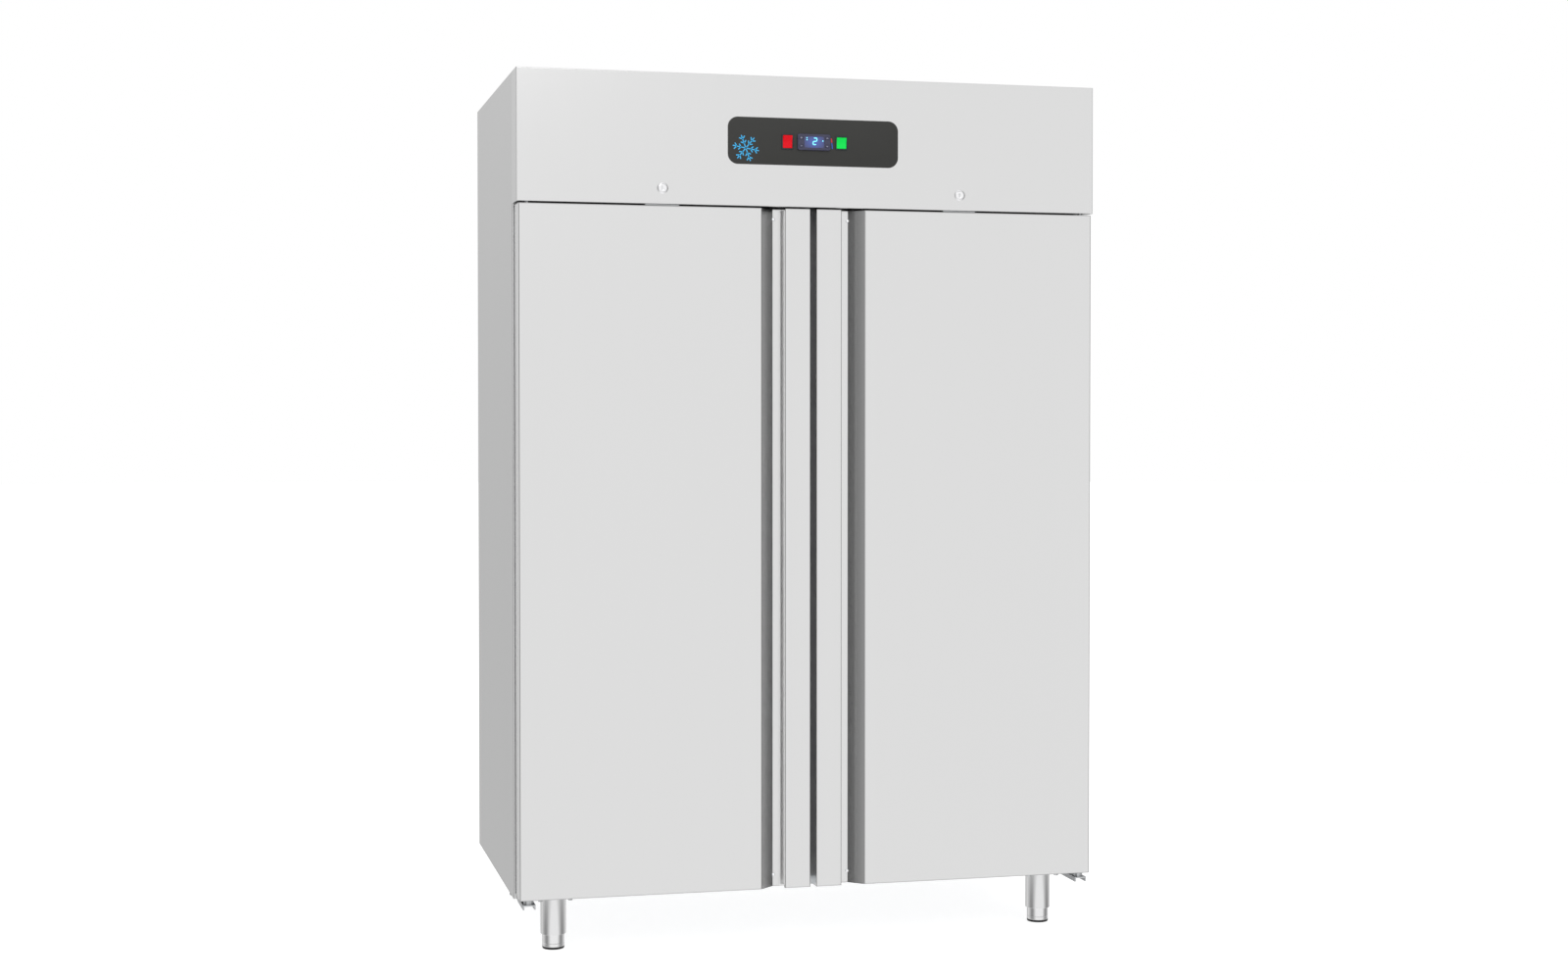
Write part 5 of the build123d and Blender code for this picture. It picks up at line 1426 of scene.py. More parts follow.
@dataclass
class DoorLocks(SubAssembly):
    """Cam locks in the fascia, one above each door.

    Args:
        proud: How far the ring stands in front of the fascia.
        ring: Radius of the ring.
        body: Radius of the barrel behind it.
        plug: Radius of the turning plug.
        key_slot: Width and height of the key slot.
        strip: Lowest and highest corner of the left strip below a lock, from the lock and the floor.
    """

    proud: float = 2.5
    ring: float = 13.0
    body: float = 11.5
    plug: float = 9.5
    key_slot: tuple = (1.6, 9.0)
    strip: tuple = ((-40.0, 5.0, 1737.2), (40.0, 21.0, 1739.9))

    def build(self) -> None:
        """Builds the barrels, on each lock's own body its plug with the cam, and the strips below."""
        low, high = box_of("lock_barrels")
        x, front = low[0] + self.ring, low[1] + self.proud
        place = at(x, front, (low[2] + high[2]) / 2)
        profile = [(self.body, -22.0), (self.body, -0.2), (self.ring, -0.2), (self.ring, 0.1),
                   (self.ring - 2.4, 2.4), (self.ring - 2.6, 2.5), (9.75, 2.5), (9.6, 2.3), (9.6, -22.0)]
        barrel = turned(profile, 64, ring=True).placed(place)
        self.piece("lock_rings", barrel.both_sides(), "chrome", "cabinet", "lock_chrome", ("lock_barrels",))
        plug = joined([self.turning_plug(), self.cam()]).placed(place)
        for side in Side:
            self.piece(f"key_plug_{side.value}", plug.handed(side), "chrome", f"{side.value}_lock",
                       "lock_chrome", (f"lock_plug_{side.value}",))
        strip = soft_block(*np.array(self.strip), 0.4).moved(x, front)
        self.piece("wear_strips", strip.both_sides(), "bracket_steel", "cabinet", "hinge_steel")

    def turning_plug(self) -> Surface:
        """Returns the plug: circles that step in to the mouth and floor of the key slot."""
        wide, tall = self.key_slot
        size = 2 * self.plug
        levels = [(size, size, self.plug, -25.0), (size, size, self.plug, 1.5),
                  (size - 0.5, size - 0.5, self.plug - 0.25, 1.9),
                  (size - 1.4, size - 1.4, self.plug - 0.7, 2.0), (5.2, tall + 2.6, 2.6, 2.0),
                  (4.4, tall + 1.8, 2.2, 1.7), (wide, tall, wide / 2, 1.5), (wide, tall, wide / 2, -4.0)]
        return stacked(levels, steps=12)

    def cam(self) -> Surface:
        """Returns the cam with the screw that holds it to the plug's tail."""
        low, high = box_of("lock_plug_left")
        half = 7.0
        length = high[0] - low[0] - self.plug + half
        levels = soft_edge((length, 2 * half, 5.0), 25.0, 27.5, 0.4)
        plate = stacked(levels).placed(FACING_DOWN).moved(x=length / 2 - half)
        screw = turned([(4.2, 27.4), (4.2, 28.2), (3.6, 28.9)], 24).placed(FACING_DOWN)
        return joined([plate, screw])


@dataclass
class Doors(SubAssembly):
    """Two foamed doors with a grip channel over their whole height.

    Args:
        panel_border: Flat border of the inner panel.
        panel_rise: How far its middle stands up.
        draft: How far the middle's walls lean in.
        walls: Share of the draft, share of the rise and corner radius up the middle's walls.
        seal_width: Width of the gasket's head.
        screw_heights: Heights of the screws in the channel's floor.
        screw_x: Where they are on the left door.
        channel_depth: Depth of the channel's floor behind the rail.
    """

    panel_border: float = 50.0
    panel_rise: float = 9.0
    draft: float = 12.0
    walls: tuple = ((0.76, 0.70, 1.4), (0.90, 0.85, 1.4), (1.04, 0.96, 2.4), (1.22, 1.0, 4.0))
    seal_width: float = 18.0
    screw_heights: tuple = (164.0, 1712.6)
    screw_x: float = -90.5
    channel_depth: float = 30.0

    def build(self) -> None:
        """Builds each door's inner panel, gasket and screws, and dresses its sheets."""
        panel, seal, fixings = self.panel(), self.seal(), self.channel_screws()
        for side in Side:
            hand = side.value
            # The skin and grip finishes carry painted shade and painted light in their colour.
            for node, finish in (("door_skin", "skin_steel_painted_shading"), ("grip_profile", "grip_steel_painted_shading"),
                                 ("door_foam", "foam"), ("door_caps", "cap_grey")):
                self.dress(finish, f"{node}_{hand}")
            for name, surface, finish, slot, replaces in (
                    ("inner_panel", panel, "liner_steel", "stainless_liner", (f"door_panel_{hand}",)),
                    ("seal", seal, "gasket", "gasket_grey", (f"door_gasket_{hand}",)),
                    ("channel_screws", fixings, "chrome", "stainless_front", ())):
                self.piece(f"{name}_{hand}", surface.handed(side), finish, f"{hand}_door", slot, replaces)

    def panel(self) -> Surface:
        """Returns the pressed inner panel: a flat border, coved walls and a raised middle."""
        low, high = box_of("door_panel_left")
        width, height = high[0] - low[0], high[2] - low[2]
        inside, sheet = 2 * (self.panel_border - 2.0), 1.0
        cove = [(5.0, 6.0, sheet), (1.2, 4.0, 1.5), (-2.2, 3.0, 3.2)]
        cove += [(-2 * self.draft * share, corner, sheet + self.panel_rise * rise)
                 for share, rise, corner in self.walls]
        levels = soft_edge((width, height, 4.0), 0.0, sheet, 0.4)
        levels += [(width - inside + wider, height - inside + wider, corner, z) for wider, corner, z in cove]
        middle = (low + high) / 2
        return stacked(levels).placed(at(middle[0], low[1], middle[2], FACING_BACK))

    def seal(self) -> Surface:
        """Returns the gasket: its profile of inset and depth carried round the door in mitred corners."""
        low, high = box_of("door_gasket_left")
        depth = high[1] - low[1]
        width, height = high[0] - low[0], high[2] - low[2]
        outer = [(2.5, 0.0), (2.5, 2.1), (3.2, 3.0), (6.6, 3.4), (4.4, 4.5), (6.4, 5.5), (4.6, 6.6),
                 (1.2, 7.0), (0.2, 7.9), (0.0, 8.8), (0.0, depth - 1.6), (0.5, depth - 0.4),
                 (1.6, depth)]
        inner = [(self.seal_width - inset, level) for inset, level in reversed(outer)]
        levels = [(width - 2 * inset, height - 2 * inset, max(9.0 - inset * 0.4, 1.0), level)
                  for inset, level in outer + inner]
        middle = (low + high) / 2
        return stacked(levels, 5, ring=True).placed(at(middle[0], low[1], middle[2], FACING_BACK))

    def channel_screws(self) -> Surface:
        """Returns the screws that hold the channel's floor, at its ends."""
        floor = box_of("grip_profile_left")[0][1] + self.channel_depth
        places = [(self.screw_x, floor, z) for z in self.screw_heights]
        return screws(places, 4.0, FACING_FRONT, 2.6)


@dataclass
class Legs(SubAssembly):
    """Four round legs with screw-in feet.

    Args:
        tube: Outer radius of the leg.
        wall: Thickness of its tube.
        sleeve: Radius of the foot's sleeve.
        sleeve_top: Height of the sleeve's upper rim.
        stem: Radius of the threaded stem.
        pitch: Pitch of its thread.
        plate: Side of the fixing plate.
        sheet: Thickness of the fixing plate.
    """

    tube: float = 30.0
    wall: float = 1.5
    sleeve: float = 26.0
    sleeve_top: float = 80.0
    stem: float = 8.0
    pitch: float = 2.0
    plate: float = 90.0
    sheet: float = 3.0

    def build(self) -> None:
        """Builds the fixed legs, and on each foot's body its sleeve and pad."""
        low, high = box_of("leg_tubes")
        places = {}
        for name in ("front_left", "front_right", "rear_left", "rear_right"):
            pad_low, pad_high = box_of(f"foot_pad_{name}")
            places[name] = (pad_low + pad_high) / 2
        spots = np.array([(p[0], p[1], 0.0) for p in places.values()])
        bottom, top = low[2], high[2]
        self.piece("leg_bodies", self.leg(bottom, top).repeated(spots), "leg_steel", "cabinet",
                   "stainless_leg", ("leg_tubes",))
        bolts = [(x + sx * 35, y + sy * 35, top - self.sheet) for x, y, _ in spots for sx in (-1, 1)
                 for sy in (-1, 1)]
        self.piece("leg_bolts", hexagon_bolts(bolts, 10.0, 4.5, FACING_DOWN), "screw_steel", "cabinet",
                   "stainless_leg")
        pad = turned([(self.sleeve - 2.2, 0.0), (self.sleeve - 1.2, 0.3), (self.sleeve - 0.3, 2.0),
                      (self.sleeve, 3.2), (self.sleeve, 4.7), (self.sleeve - 0.6, 5.0)], 64)
        for name, (x, y, _) in places.items():
            sleeve_low, sleeve_high = box_of(f"foot_sleeve_{name}")
            foot = self.foot(sleeve_low[2], sleeve_high[2])
            self.piece(f"screw_foot_{name}", foot.moved(x, y), "foot_steel", f"foot_{name}",
                       "stainless_leg", (f"foot_sleeve_{name}",))
            self.piece(f"rubber_pad_{name}", pad.moved(x, y), "foot_rubber", f"foot_{name}",
                       "foot_rubber", (f"foot_pad_{name}",))

    def leg(self, bottom: float, top: float) -> Surface:
        """Tube with a rolled lip and a weld, its fixing plate, and the nut plate inside.

        Args:
            bottom: Height of the tube's lower end.
            top: Height of the plate's upper face.
        Returns:
            The leg at the origin's X and Y.
        """
        r, inside, under = self.tube, self.tube - self.wall, top - self.sheet
        tube = [(r - 0.5, bottom), (r, bottom + 0.6), (r, under - 4.0), (r + 0.7, under - 2.6),
                (r + 2.0, under - 0.9), (r + 3.6, under), (inside, under), (inside, bottom + 0.4),
                (inside + 0.3, bottom)]
        plate = stacked(soft_edge((self.plate, self.plate, 9.0), under, top, 0.6))
        nut = turned([(inside, under - 41.0), (inside, under - 33.0), (self.stem + 0.2, under - 33.0),
                      (self.stem + 0.2, under - 41.0)], 48, ring=True)
        return joined([turned(tube, 72, ring=True), plate, nut])

    def foot(self, low: float, high: float) -> Surface:
        """Sleeve with soft rims and a fine groove, and its stem with a thread's ridges.

        Args:
            low: Height of the sleeve's lower rim.
            high: Height of the stem's end.
        Returns:
            The foot at the origin's X and Y.
        """
        r, top = self.sleeve, self.sleeve_top
        rows = [(r - 1.0, low), (r - 0.2, low + 0.8), (r, low + 1.6), (r, low + 8.0),
                (r - 0.6, low + 8.6), (r - 0.6, low + 9.6), (r, low + 10.2), (r, top - 1.2),
                (r - 0.9, top), (self.stem, top)]
        for step in range(int((high - top - 2.0) / self.pitch)):
            z = top + step * self.pitch
            rows += [(self.stem - 0.9, z + 0.5), (self.stem, z + 1.5)]
        rows += [(self.stem - 0.9, high - 0.8), (self.stem - 1.4, high)]
        return turned(rows, 64)


@dataclass
class FoodSpace(SubAssembly):
    """Coved liner, door frame, posts, runners and six wire shelves.

    Args:
        cove: Inner corner radius of the liner.
        rim: Radius of a shelf's rim wire.
        wire: Radius of the wires that carry the food.
        brace: Radius of the cross bars under them.
        wires: Wires in a shelf.
        shelf_heights: Height of each shelf in a stack.
        stack_end: X of the left stack's right side.
    """

    cove: float = 26.0
    rim: float = 3.6
    wire: float = 1.5
    brace: float = 2.5
    wires: int = 26
    shelf_heights: tuple = (497.5, 822.5, 1147.5)
    stack_end: float = -55.0

    def build(self) -> None:
        """Builds the liner and the shelves, and dresses the rest."""
        self.dress("frame_grey", "door_frame")
        self.dress("rack_steel", "shelf_posts", "shelf_runners")
        self.piece("coved_liner", self.liner(), "liner_steel", "cabinet", "stainless_liner",
                   ("inner_liner",))
        shelf = self.shelf()
        lowest = shelf.points[:, 2].min()
        stack = shelf.repeated(np.array([(0.0, 0.0, z - lowest) for z in self.shelf_heights]))
        self.piece("round_wire_shelves", stack.both_sides(), "shelf_coat", "cabinet", "shelf_coating",
                   ("wire_shelves",))

    def liner(self) -> Surface:
        """Returns the liner: down its inside from the back wall to the front edge, and up its outside."""
        low, high = box_of("inner_liner")
        width, height, depth = high[0] - low[0] - 2, high[2] - low[2] - 2, high[1] - low[1]
        inside = soft_edge((width, height, self.cove), 0.0, depth - 1, self.cove, 7)
        outside = soft_edge((width + 2, height + 2, self.cove + 1), 0.0, depth, self.cove + 1, 7)
        middle = (low + high) / 2
        surface = stacked(inside[::-1] + outside, 9)
        return surface.placed(at(middle[0], low[1], middle[2], FACING_BACK))

    def shelf(self) -> Surface:
        """Returns the left stack's shelf: a bent rim, cross bars under the wires, and the wires."""
        low, high = box_of("wire_shelves")
        r = z = self.rim
        left, right, front, back = low[0] + r, self.stack_end - r, low[1] + r, high[1] - r
        corners = [(left, front, z), (right, front, z), (right, back, z), (left, back, z)]
        parts = [swept(rounded_path(corners, 20.0, 7, closed=True), r, 12, closed=True)]
        under, bite = z - 0.3, 0.4
        for y in np.linspace(low[1] + 60, high[1] - 60, 4):
            parts.append(bar((left, y, under), (right, y, under), self.brace, 10))
        x = np.linspace(left + r + 10, right - r - 10, self.wires)
        rest = under + self.brace + self.wire - bite
        path = rounded_path([(0, low[1] + 1.5, z), (0, low[1] + 7.0, rest), (0, high[1] - 7.0, rest),
                             (0, high[1] - 1.5, z)], 3.0, 3)
        parts.append(swept(path, self.wire, 8).repeated(np.column_stack([x, 0 * x, 0 * x])))
        return joined(parts)


def fan_wheel(tip: float, blades: int = 5) -> Surface:
    """Axial fan about the Z axis.

    A blade runs from the hub to the tip, where its chord is 46 / 76 of the radius. Its section at radius
    r has the chord c and the pitch p. Its points are u c / 2 along the chord and
    0.12 c (1 - u^2) + h sin f off it, with u = cos f and h the half thickness. Turned by p they give a
    tangential offset, which becomes the angle offset / r, and a height, so the tip is round.

    Args:
        tip: Radius of the blades' tips.
        blades: Number of blades.
    Returns:
        Hub and blades as one surface.
    """
    root, root_chord, tip_chord = 18.5, 22, 46.0 * tip / 76
    span = np.linspace(0, 1, 15)[:, None]
    f = np.linspace(0, 2 * math.pi, 28, endpoint=False)[None]
    r = root + span * (tip - root)
    chord = root_chord + span * (tip_chord - root_chord)
    chord = chord * np.sqrt(1 - 0.42 * np.clip((span - 0.86) / 0.14, 0, 1) ** 2)
    pitch = np.radians(48 - 24 * span)
    u = np.cos(f)
    off = 0.12 * chord * (1 - u**2) + (1.1 - 0.4 * span) * np.sin(f) - 0.9
    sideways = u * chord / 2 * np.cos(pitch) - off * np.sin(pitch)
    height = u * chord / 2 * np.sin(pitch) + off * np.cos(pitch)
    turn = sideways / r
    blade = grid(np.stack([r * np.cos(turn), r * np.sin(turn), height], -1))
    hub = [(11.0, 0.0), (11.0, -10.0), (20.2, -10.0), (21.0, -9.2), (21.0, 4.5), (20.6, 6.6), (19.4, 8.3),
           (17.2, 9.5), (14.0, 10.0), (6.0, 10.0), (5.2, 9.4), (4.0, 9.2)]
    wheel = [turned(hub, 64)]
    for step in range(blades):
        wheel.append(blade.placed(Matrix.Rotation(step * 2 * math.pi / blades, 4, "Z")))
    return joined(wheel)


def fan_motor(reach: float) -> Surface:
    """Motor behind a fan, along Z, with ribs round its case and a strap towards -Y.

    Args:
        reach: Distance from the axis to what carries the strap.
    Returns:
        The motor with its shaft and strap.
    """
    case = [(3.0, -6.0), (3.0, 11.5), (9.0, 11.5), (10.0, 12.6), (23.0, 12.6), (25.6, 13.6), (27.0, 16.0)]
    for z in (20.0, 25.0, 30.0, 35.0, 40.0):
        case += [(27.0, z), (25.9, z + 0.7), (25.9, z + 2.2), (27.0, z + 2.9)]
    case += [(27.0, 49.0), (26.2, 53.0), (23.6, 56.2), (20.0, 57.5), (9.0, 57.5)]
    strap = soft_block((-7.0, -reach, 48.4), (7.0, -10.0, 51.5), 0.7)
    foot = soft_block((-7.0, -reach, 38.0), (7.0, -reach + 2.0, 51.5), 0.7)
    return joined([turned(case, 64), strap, foot])


def wire_guard(radius: float, depth: float, rings: int = 5) -> Surface:
    """Domed guard of round wires over a fan: ring k lies at depth (1 - (k / n)^2) above the rim.

    Args:
        radius: Radius of the outermost ring.
        depth: Rise of the middle above the rim.
        rings: Number of rings.
    Returns:
        Rings, arms and the middle disc.
    """
    parts = []
    radii = np.linspace(0.24, 1.0, rings) * radius
    rises = depth * (1 - (radii / radius) ** 2)
    for r, z in zip(radii, rises):
        parts.append(swept(circle_path(r, 56, z), 1.2, 8, closed=True))
    share = np.linspace(0.12, 1.04, 9)
    for turn in np.arange(4) * math.pi / 2 + math.pi / 4:
        path = np.column_stack([share * radius * math.cos(turn), share * radius * math.sin(turn),
                                depth * (1 - share**2) - 1.9])
        parts.append(swept(path, 1.5, 8))
    disc = turned([(15.0, depth - 3.2), (15.0, depth - 1.8), (13.0, depth - 1.0)], 32)
    return joined([*parts, disc])


def fin_block(size: tuple, pitch: float, bend: float, rows: tuple, tube: float) -> tuple:
    """Finned coil along X, resting on Z = 0: thin sheets on tubes that turn back beyond the end plates.

    Args:
        size: Length over the bends, size along Y, and height.
        pitch: Distance between fins.
        bend: Room for the tube bends at each end.
        rows: Tubes along Y and along Z.
        tube: Radius of the tubes.
    Returns:
        Fins with end plates, and the tubes.
    """
    length, across, up = size
    reach = length / 2 - bend
    fin = soft_block((-0.2, -across / 2 + 1, 1.0), (0.2, across / 2 - 1, up - 1), 0.1, 2)
    x = np.arange(-reach + pitch, reach - pitch / 2, pitch)
    fins = fin.repeated(np.column_stack([x, 0 * x, 0 * x]))
    plates = [soft_block((s * reach - 0.8, -across / 2, 0.0), (s * reach + 0.8, across / 2, up), 0.4)
              for s in (-1, 1)]
    y = (np.arange(rows[0]) - (rows[0] - 1) / 2) * across / rows[0]
    z = (np.arange(rows[1]) + 0.5) * up / rows[1]
    pipes = []
    for here in y:
        for low, high in zip(z[:-1], z[1:]):
            side = 1 if (np.searchsorted(z, low) % 2) else -1
            turn = np.linspace(-math.pi / 2, math.pi / 2, 9)
            bow = np.column_stack([side * (reach + np.cos(turn) * (bend - tube - 0.5)),
                                   np.full(9, here), (low + high) / 2 + np.sin(turn) * (high - low) / 2])
            pipes.append(swept(bow, tube, 10))
        for level in z:
            pipes.append(bar((-reach - 1, here, level), (reach + 1, here, level), tube, 8))
    return joined([fins, *plates]), joined(pipes)


@dataclass
class Evaporator(SubAssembly):
    """Unit cooler under the ceiling.

    Args:
        fan_x: Distance of each fan from the middle.
        guard: Radius of the fan guards.
        tip: Radius of the fans.
        behind: Distance from the cover's face to the fans.
        below: Distance from the cover's top to their middles.
    """

    fan_x: float = 215.0
    guard: float = 80.0
    tip: float = 71.0
    behind: float = 24.0
    below: float = 96.0

    def build(self) -> None:
        """Builds guards, fans and coil, and dresses the cover."""
        self.dress("cover_white", "evaporator_cover")
        low, high = box_of("evaporator_cover")
        z = high[2] - self.below
        guard, wheel = wire_guard(self.guard, 5.0), fan_wheel(self.tip)
        guards = []
        for side, x in ((Side.LEFT, -self.fan_x), (Side.RIGHT, self.fan_x)):
            guards.append(guard.placed(at(x, low[1] - 1.6, z)))
            fan = f"evaporator_fan_{side.value}"
            self.piece(f"fan_wheel_{side.value}", wheel.placed(at(x, low[1] + self.behind, z)),
                       "fan_black", fan, "fan_black", (fan,))
        self.piece("fan_guards", joined(guards), "shelf_coat", "cabinet", "cover_white")
        edges = [(x, low[1], z) for x in (low[0] + 12, -8.0, 8.0, high[0] - 12)
                 for z in (low[2] + 26, high[2] - 14)]
        self.piece("cover_screws", screws(edges, 3.4, FACING_FRONT, 1.8), "screw_steel", "cabinet",
                   "cover_white")
        self.coil()

    def coil(self) -> None:
        """Fine fins on copper tubes in place of the plain coil."""
        low, high = box_of("evaporator_coil")
        size = high - low
        fins, pipes = fin_block(tuple(size), 5.0, 22.0, (3, 5), 4.8)
        place = Matrix.Translation(((low[0] + high[0]) / 2, (low[1] + high[1]) / 2, low[2]))
        self.piece("evaporator_fins", fins.placed(place), "aluminium", "cabinet", "fin_aluminium",
                   ("evaporator_coil",), flat=True)
        self.piece("evaporator_tubes", pipes.placed(place), "copper", "cabinet", "copper")


@dataclass
class CondensingUnit(SubAssembly):
    """Compressor, condenser with its fan, pipes and wiring box on the deck.

    Args:
        shell: Radius of the compressor.
        stand: Middle of the compressor, and the height of its feet.
        feet: Distance of each foot from the middle.
        ring: Inner radius of the shroud's ring.
        tip: Radius of the condenser fan.
        fan_gap: Distance from the condenser to its fan.
        riser: Where the suction pipe comes up through the deck.
        run: Y and Z of the hot pipe's long run.
        drier: Radius of the filter drier.
    """

    shell: float = 92.0
    stand: tuple = (290.0, 60.0, 1777.0)
    feet: float = 85.0
    ring: float = 110.0
    tip: float = 105.0
    fan_gap: float = 38.0
    riser: tuple = (290.0, 192.0)
    run: tuple = (-115.0, 2023.0)
    drier: float = 13.0

    def build(self) -> None:
        """Builds each piece of the unit."""
        self.condenser()
        self.shroud()
        self.fans()
        self.compressor()
        self.pipes()
        self.wiring_box()

    def condenser(self) -> None:
        """Fine fins across the air's way, on copper tubes."""
        low, high = box_of("condenser_coil")
        size = high - low
        fins, pipes = fin_block((size[1], size[0], size[2]), 4.0, 14.0, (3, 9), 4.2)
        place = Matrix.Translation(((low[0] + high[0]) / 2, (low[1] + high[1]) / 2, low[2]))
        place = place @ Matrix.Rotation(math.pi / 2, 4, "Z")
        self.piece("condenser_fins", fins.placed(place), "aluminium", "cabinet", "fin_aluminium",
                   ("condenser_coil",), flat=True)
        self.piece("condenser_tubes", pipes.placed(place), "copper", "cabinet", "copper")

    def shroud(self) -> None:
        """Sheet hood whose face turns out into the ring round the fan."""
        low, high = box_of("fan_shroud")
        tall, wide, deep, sheet = high[2] - low[2], high[1] - low[1], 34.0, 1.2
        round_levels = [(5, deep), (2.8, deep + 0.8), (2, deep + 3), (2, 55.0), (1.5, 56.0), (0, 55.4),
                        (0, deep), (3, deep - sheet)]
        levels = soft_edge((tall, wide, 4.0), 0.0, deep, 2.5)
        levels += [(2 * (self.ring + wider), 2 * (self.ring + wider), self.ring + wider, z)
                   for wider, z in round_levels]
        levels += [(tall - 2 * sheet, wide - 2 * sheet, 3.0, z) for z in (deep - sheet, 0.0)]
        middle = (low + high) / 2
        surface = stacked(levels, 16, ring=True).placed(at(low[0], middle[1], middle[2], FACING_RIGHT))
        self.piece("air_hood", surface, "zinc", "cabinet", "galvanised", ("fan_shroud",))

    def fans(self) -> None:
        """Condenser fan on its own body, and the three motors."""
        low, high = box_of("condenser_coil")
        y, z = (low[1] + high[1]) / 2, (low[2] + high[2]) / 2
        x = high[0] + self.fan_gap
        facing = Matrix.Rotation(-math.pi / 2, 4, "Y")
        self.piece("condenser_fan_wheel", fan_wheel(self.tip).placed(at(x, y, z, facing)),
                   "fan_black", "condenser_fan", "fan_black", ("condenser_fan",))
        cover_low, cover_high = box_of("evaporator_cover")
        turn = FACING_RIGHT @ Matrix.Rotation(math.pi / 2, 4, "Z")
        motors = [fan_motor((high[2] - low[2]) / 2).placed(at(x, y, z, turn))]
        cooler = Evaporator()
        for here in (-cooler.fan_x, cooler.fan_x):
            place = at(here, cover_low[1] + cooler.behind, cover_high[2] - cooler.below, FACING_BACK)
            motors.append(fan_motor(cooler.below).placed(place))
        self.piece("fan_motor_cases", joined(motors), "motor_black", "cabinet", "motor_black",
                   ("fan_motors",))

    def compressor(self) -> None:
        """Two drawn shells with a welded seam, feet on grommets and a terminal box."""
        r = self.shell
        shell = [(46.0, 0.4), (60.0, 1.6), (72.0, 5.6), (82.0, 12.0), (89.0, 20.0), (r, 29.0), (r, 97.6),
                 (r + 4.4, 98.0), (r + 5, 98.8), (r + 5, 107.0), (r + 4.4, 107.8), (r, 108.4), (r, 152.0),
                 (90.6, 161.0), (86.8, 170.0), (80.0, 178.5), (70.5, 185.6), (58.0, 191.0), (44.0, 194.6),
                 (28.0, 195.9), (12.0, 196.0)]
        foot = stacked(soft_edge((204.0, 34.0, 15.0), 0.0, 3.0, 0.7), 7)
        parts = [turned(shell, 96)]
        parts += [foot.placed(Matrix.Rotation(math.radians(a), 4, "Z")) for a in (45, 135)]
        parts.append(soft_block((84.0, -27.4, 45.6), (107.0, 27.4, 95.4), 2.5, 4))
        parts.append(soft_block((105.4, -29.0, 44.0), (113.0, 29.0, 97.0), 3.0, 4))
        self.piece("compressor_shell", joined(parts).moved(*self.stand), "compressor_black", "cabinet",
                   "compressor_black", ("compressor",))
        grommet = turned([(12.4, -16.0), (13.0, -15.2), (13.0, -10.0), (11.0, -8.6), (11.0, -6.4),
                          (13.0, -5.0), (13.0, -0.8), (12.4, 0.0), (7.9, 0.2), (7.9, 3.0), (7.0, 4.0)], 40)
        feet = self.feet * math.sqrt(0.5)
        spots = [(sx * feet, sy * feet, 0.0) for sx in (-1, 1) for sy in (-1, 1)]
        self.piece("rubber_grommets", grommet.repeated(np.array(spots) + self.stand), "grommet_black",
                   "cabinet", "grommet_rubber", ("compressor_grommets",))

    def pipes(self) -> None:
        """Bent pipes with brazed collars, an insulated riser, and the drier."""
        (x, y), (run_y, run_z), inlet, fall = self.riser, self.run, 1907.7, -60
        suction = rounded_path([(x, y, 1761), (x, y, inlet), (x, 150, inlet)], 24.0, 10)
        discharge = rounded_path([(x, 60, 1971), (x, 60, run_z), (x, run_y, run_z), (fall, run_y, run_z),
                                  (fall, run_y, 1996)], 22.0, 10)
        drier = [(5.0, 0.0), (5.0, 14.0), (6.0, 16.0), (9.0, 22.0), (12.0, 29.0), (self.drier, 32.0),
                 (self.drier, 58.0), (12.0, 61.0), (9.0, 68.0), (6.0, 74.0), (5.0, 76.0), (5.0, 90.0)]
        place = at(-26.0, 231.0, 1774.0, FACING_RIGHT)
        copper = [swept(suction, 7.0, 20), swept(discharge, 4.9, 16), turned(drier, 48).placed(place)]
        self.piece("bent_pipes", joined(copper), "copper", "cabinet", "copper", ("refrigerant_pipes",))
        sleeve = swept(np.array([(x, y, z) for z in (1761.5, 1800.0, 1872.0)]), 8.0, 24)
        self.piece("riser_sleeve", sleeve, "sleeve_foam", "cabinet", "grommet_rubber")
        collars = []
        for place, way, radius in (((x, 153, inlet), (0, -1, 0), 9.0), ((x, 60, 1973), (0, 0, 1), 6.4),
                                   ((fall, run_y, 1997), (0, 0, 1), 6.4)):
            line = np.array(place) + 2.5 * np.array(way) * np.linspace(-1, 1, 5)[:, None]
            collars.append(swept(line, radius - np.array([1.6, 0.3, 0.0, 0.3, 1.6]), 20))
        self.piece("brazed_joints", joined(collars), "braze", "cabinet", "copper")

    def wiring_box(self) -> None:
        """Moulded box with a lid, four screws and the gland for the mains lead."""
        low, high = box_of("electrical_box")
        back, lid, lip = high[1] - 20.0, 16.0, 1.5
        body = soft_block((low[0] + lip, low[1] + lip, low[2]), (high[0] - lip, back, high[2] - lid + 2), 2.0)
        cover = soft_block((low[0], low[1], high[2] - lid), (high[0], back, high[2]), 3.0, 4)
        self.piece("wiring_box", joined([body, cover]), "box_grey", "cabinet", "box_grey",
                   ("electrical_box",))
        middle = (low + high) / 2
        nut = turned([(11.0, 0.0), (11.0, 6.0), (5.6, 6.0), (5.6, 0.0)], 6, ring=True)
        dome = turned([(9.2, 5.8), (9.2, 13.0), (8.6, 16.2), (7.4, 18.6), (6.2, 20.0), (5.6, 19.6),
                       (5.6, 5.8)], 40, ring=True)
        place = at(middle[0], back, low[2] + 47.5, FACING_BACK)
        self.piece("cable_gland", joined([nut, dome]).placed(place), "switch_black", "cabinet", "box_grey")
        spots = [(x, y, high[2]) for x in (low[0] + 10, high[0] - 10) for y in (low[1] + 10, back - 10)]
        self.piece("box_screws", screws(spots, 3.4, FACING_UP, 1.8), "screw_steel", "cabinet", "box_grey")


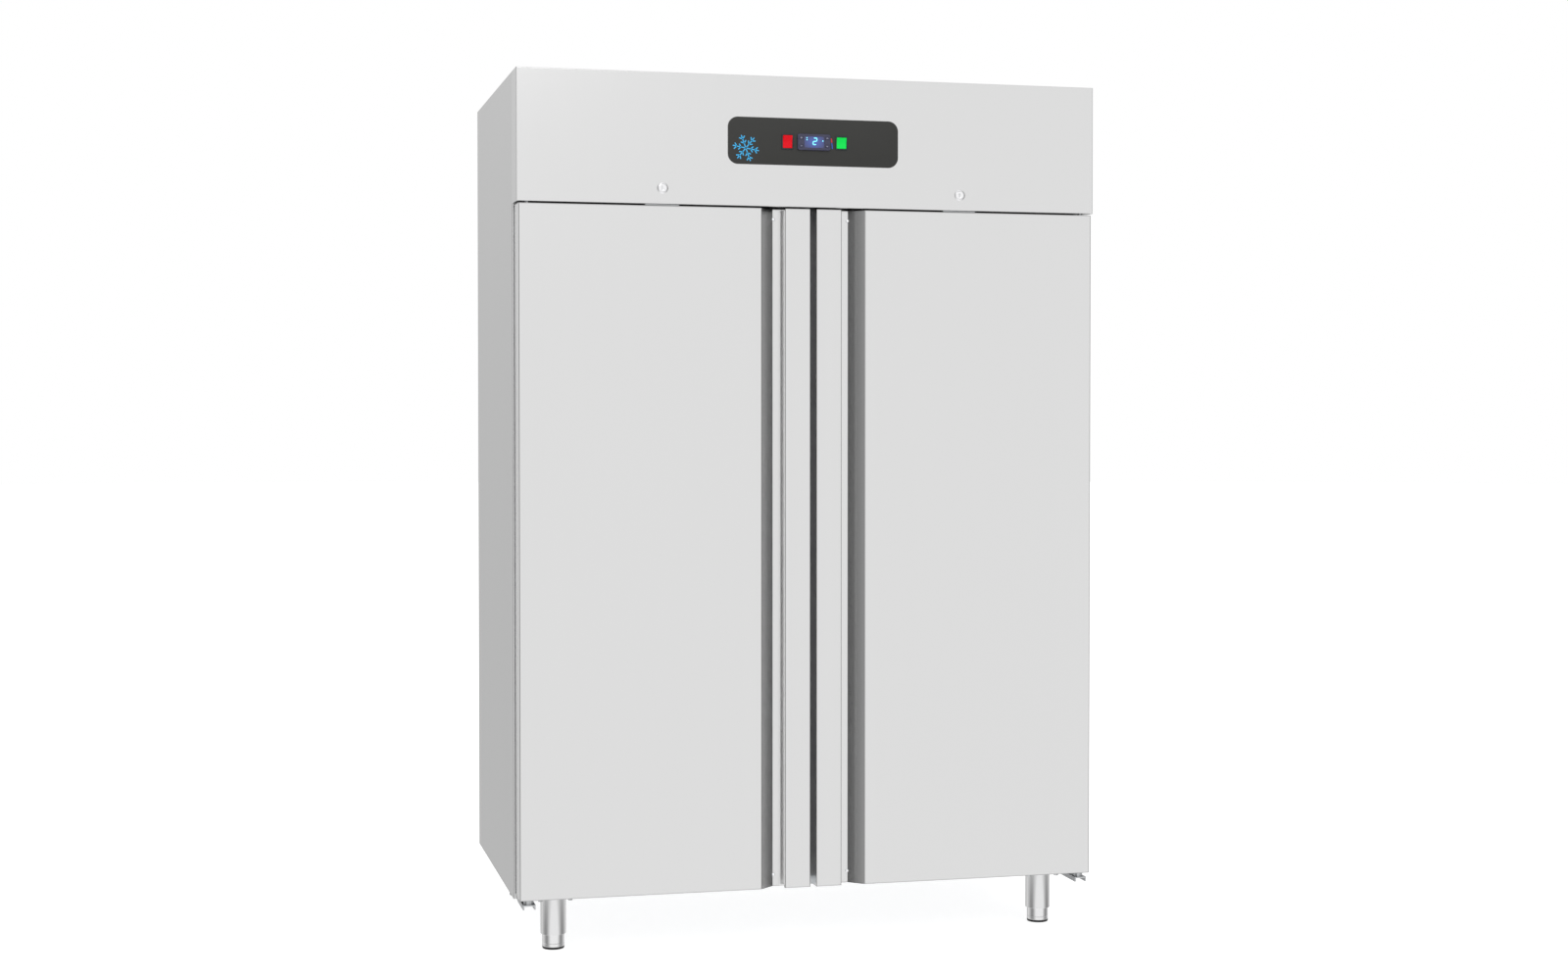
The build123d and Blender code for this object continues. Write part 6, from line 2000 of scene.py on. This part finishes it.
@dataclass
class Cabinet(SubAssembly):
    """Outer sheets, insulation, vents and hinges.

    Args:
        vent: Length, height and pitch of the vents, and the distance between their columns.
        vent_grid: Rows and columns of vents.
        below_top: Distance from the top to the first row.
        deck: X, and both Y, of the corners of the seal round the machine deck, and its height.
        bead: Radius of the seal.
    """

    vent: tuple = (230.0, 10.0, 30.0, 300.0)
    vent_grid: tuple = (5, 4)
    below_top: float = 60.0
    deck: tuple = (696.3, -312.0, 399.6, 1761.6)
    bead: float = 2.4

    def build(self) -> None:
        """Dresses the sheets and adds louvres, fastenings and the deck's seal."""
        self.dress("side_steel", "side_panel_left", "side_panel_right")
        self.dress("zinc", "back_panel", "base_panel", "machine_deck")
        self.dress("foam", "insulation_foam")
        self.dress("front_steel", "fascia_panel")
        self.dress("bracket_steel", "upper_hinges", "lower_hinges")
        self.louvres()
        self.fastenings()
        x, front, back, z = self.deck
        path = rounded_path([(-x, front, z), (-x, back, z), (x, back, z), (x, front, z)], 4.0)
        self.piece("deck_seal", swept(path, self.bead), "gasket", "cabinet", "gasket_grey")

    def louvres(self) -> None:
        """Hoods pressed inwards behind the vents, quarter circles in section.

        Their depth shrinks by sqrt(1 - (2 |x| / length)^6), so that they run out at both ends.
        """
        low, high = box_of("back_panel")
        length, tall, pitch, column = self.vent
        x = np.linspace(-length / 2, length / 2, 25)[:, None]
        swell = (1 - (2 * np.abs(x) / length) ** 6) ** 0.5
        quarter, sheet = np.linspace(0, math.pi / 2, 7), 0.9
        turn = np.concatenate([quarter, quarter[::-1]])[None]
        radius = np.repeat([tall, tall - sheet], len(quarter))[None]
        y = -radius * np.sin(turn) * swell
        z = tall / 2 + 0.4 - radius * (1 - np.cos(turn))
        hood = grid(np.stack([np.broadcast_to(x, y.shape), y, np.broadcast_to(z, y.shape)], -1))
        rows, columns = self.vent_grid
        places = [((c - (columns - 1) / 2) * column, low[1] + 0.2, high[2] - self.below_top - row * pitch)
                  for row in range(rows) for c in range(columns)]
        self.piece("vent_hoods", hood.repeated(np.array(places)), "zinc", "cabinet", "galvanised")

    def fastenings(self) -> None:
        """Low screws along the back sheet, and bolts under the lower hinges."""
        low, high = box_of("back_panel")
        edge = [(s * (high[0] - 12), high[1], z) for s in (-1, 1)
                for z in np.linspace(low[2] + 30, high[2] - 20, 9)]
        edge += [(x, high[1], z) for x in np.linspace(-560, 560, 7) for z in (low[2] + 14, high[2] - 14)]
        self.piece("back_screws", screws(edge, 3.6, FACING_BACK, 0.9), "screw_steel", "cabinet",
                   "galvanised")
        x, under = box_of("lower_hinges")[0][0] + 14.5, 123.0
        bolts = [(s * x, y, under) for s in (-1, 1) for y in (-300.0, -268.0)]
        self.piece("hinge_bolts", hexagon_bolts(bolts, 10.0, 4.0, FACING_DOWN), "screw_steel", "cabinet",
                   "hinge_steel")


def main() -> None:
    """Builds every sub-assembly in order and logs its pieces."""
    logging.basicConfig(level=logging.INFO, format="%(message)s")
    Studio().build()
    for assembly in (Cabinet(), ControlPanel(), DoorLocks(), Doors(), Legs(), FoodSpace(), Evaporator(),
                     CondensingUnit()):
        assembly.build()
        assembly.report()


if __name__ == "__main__":
    main()
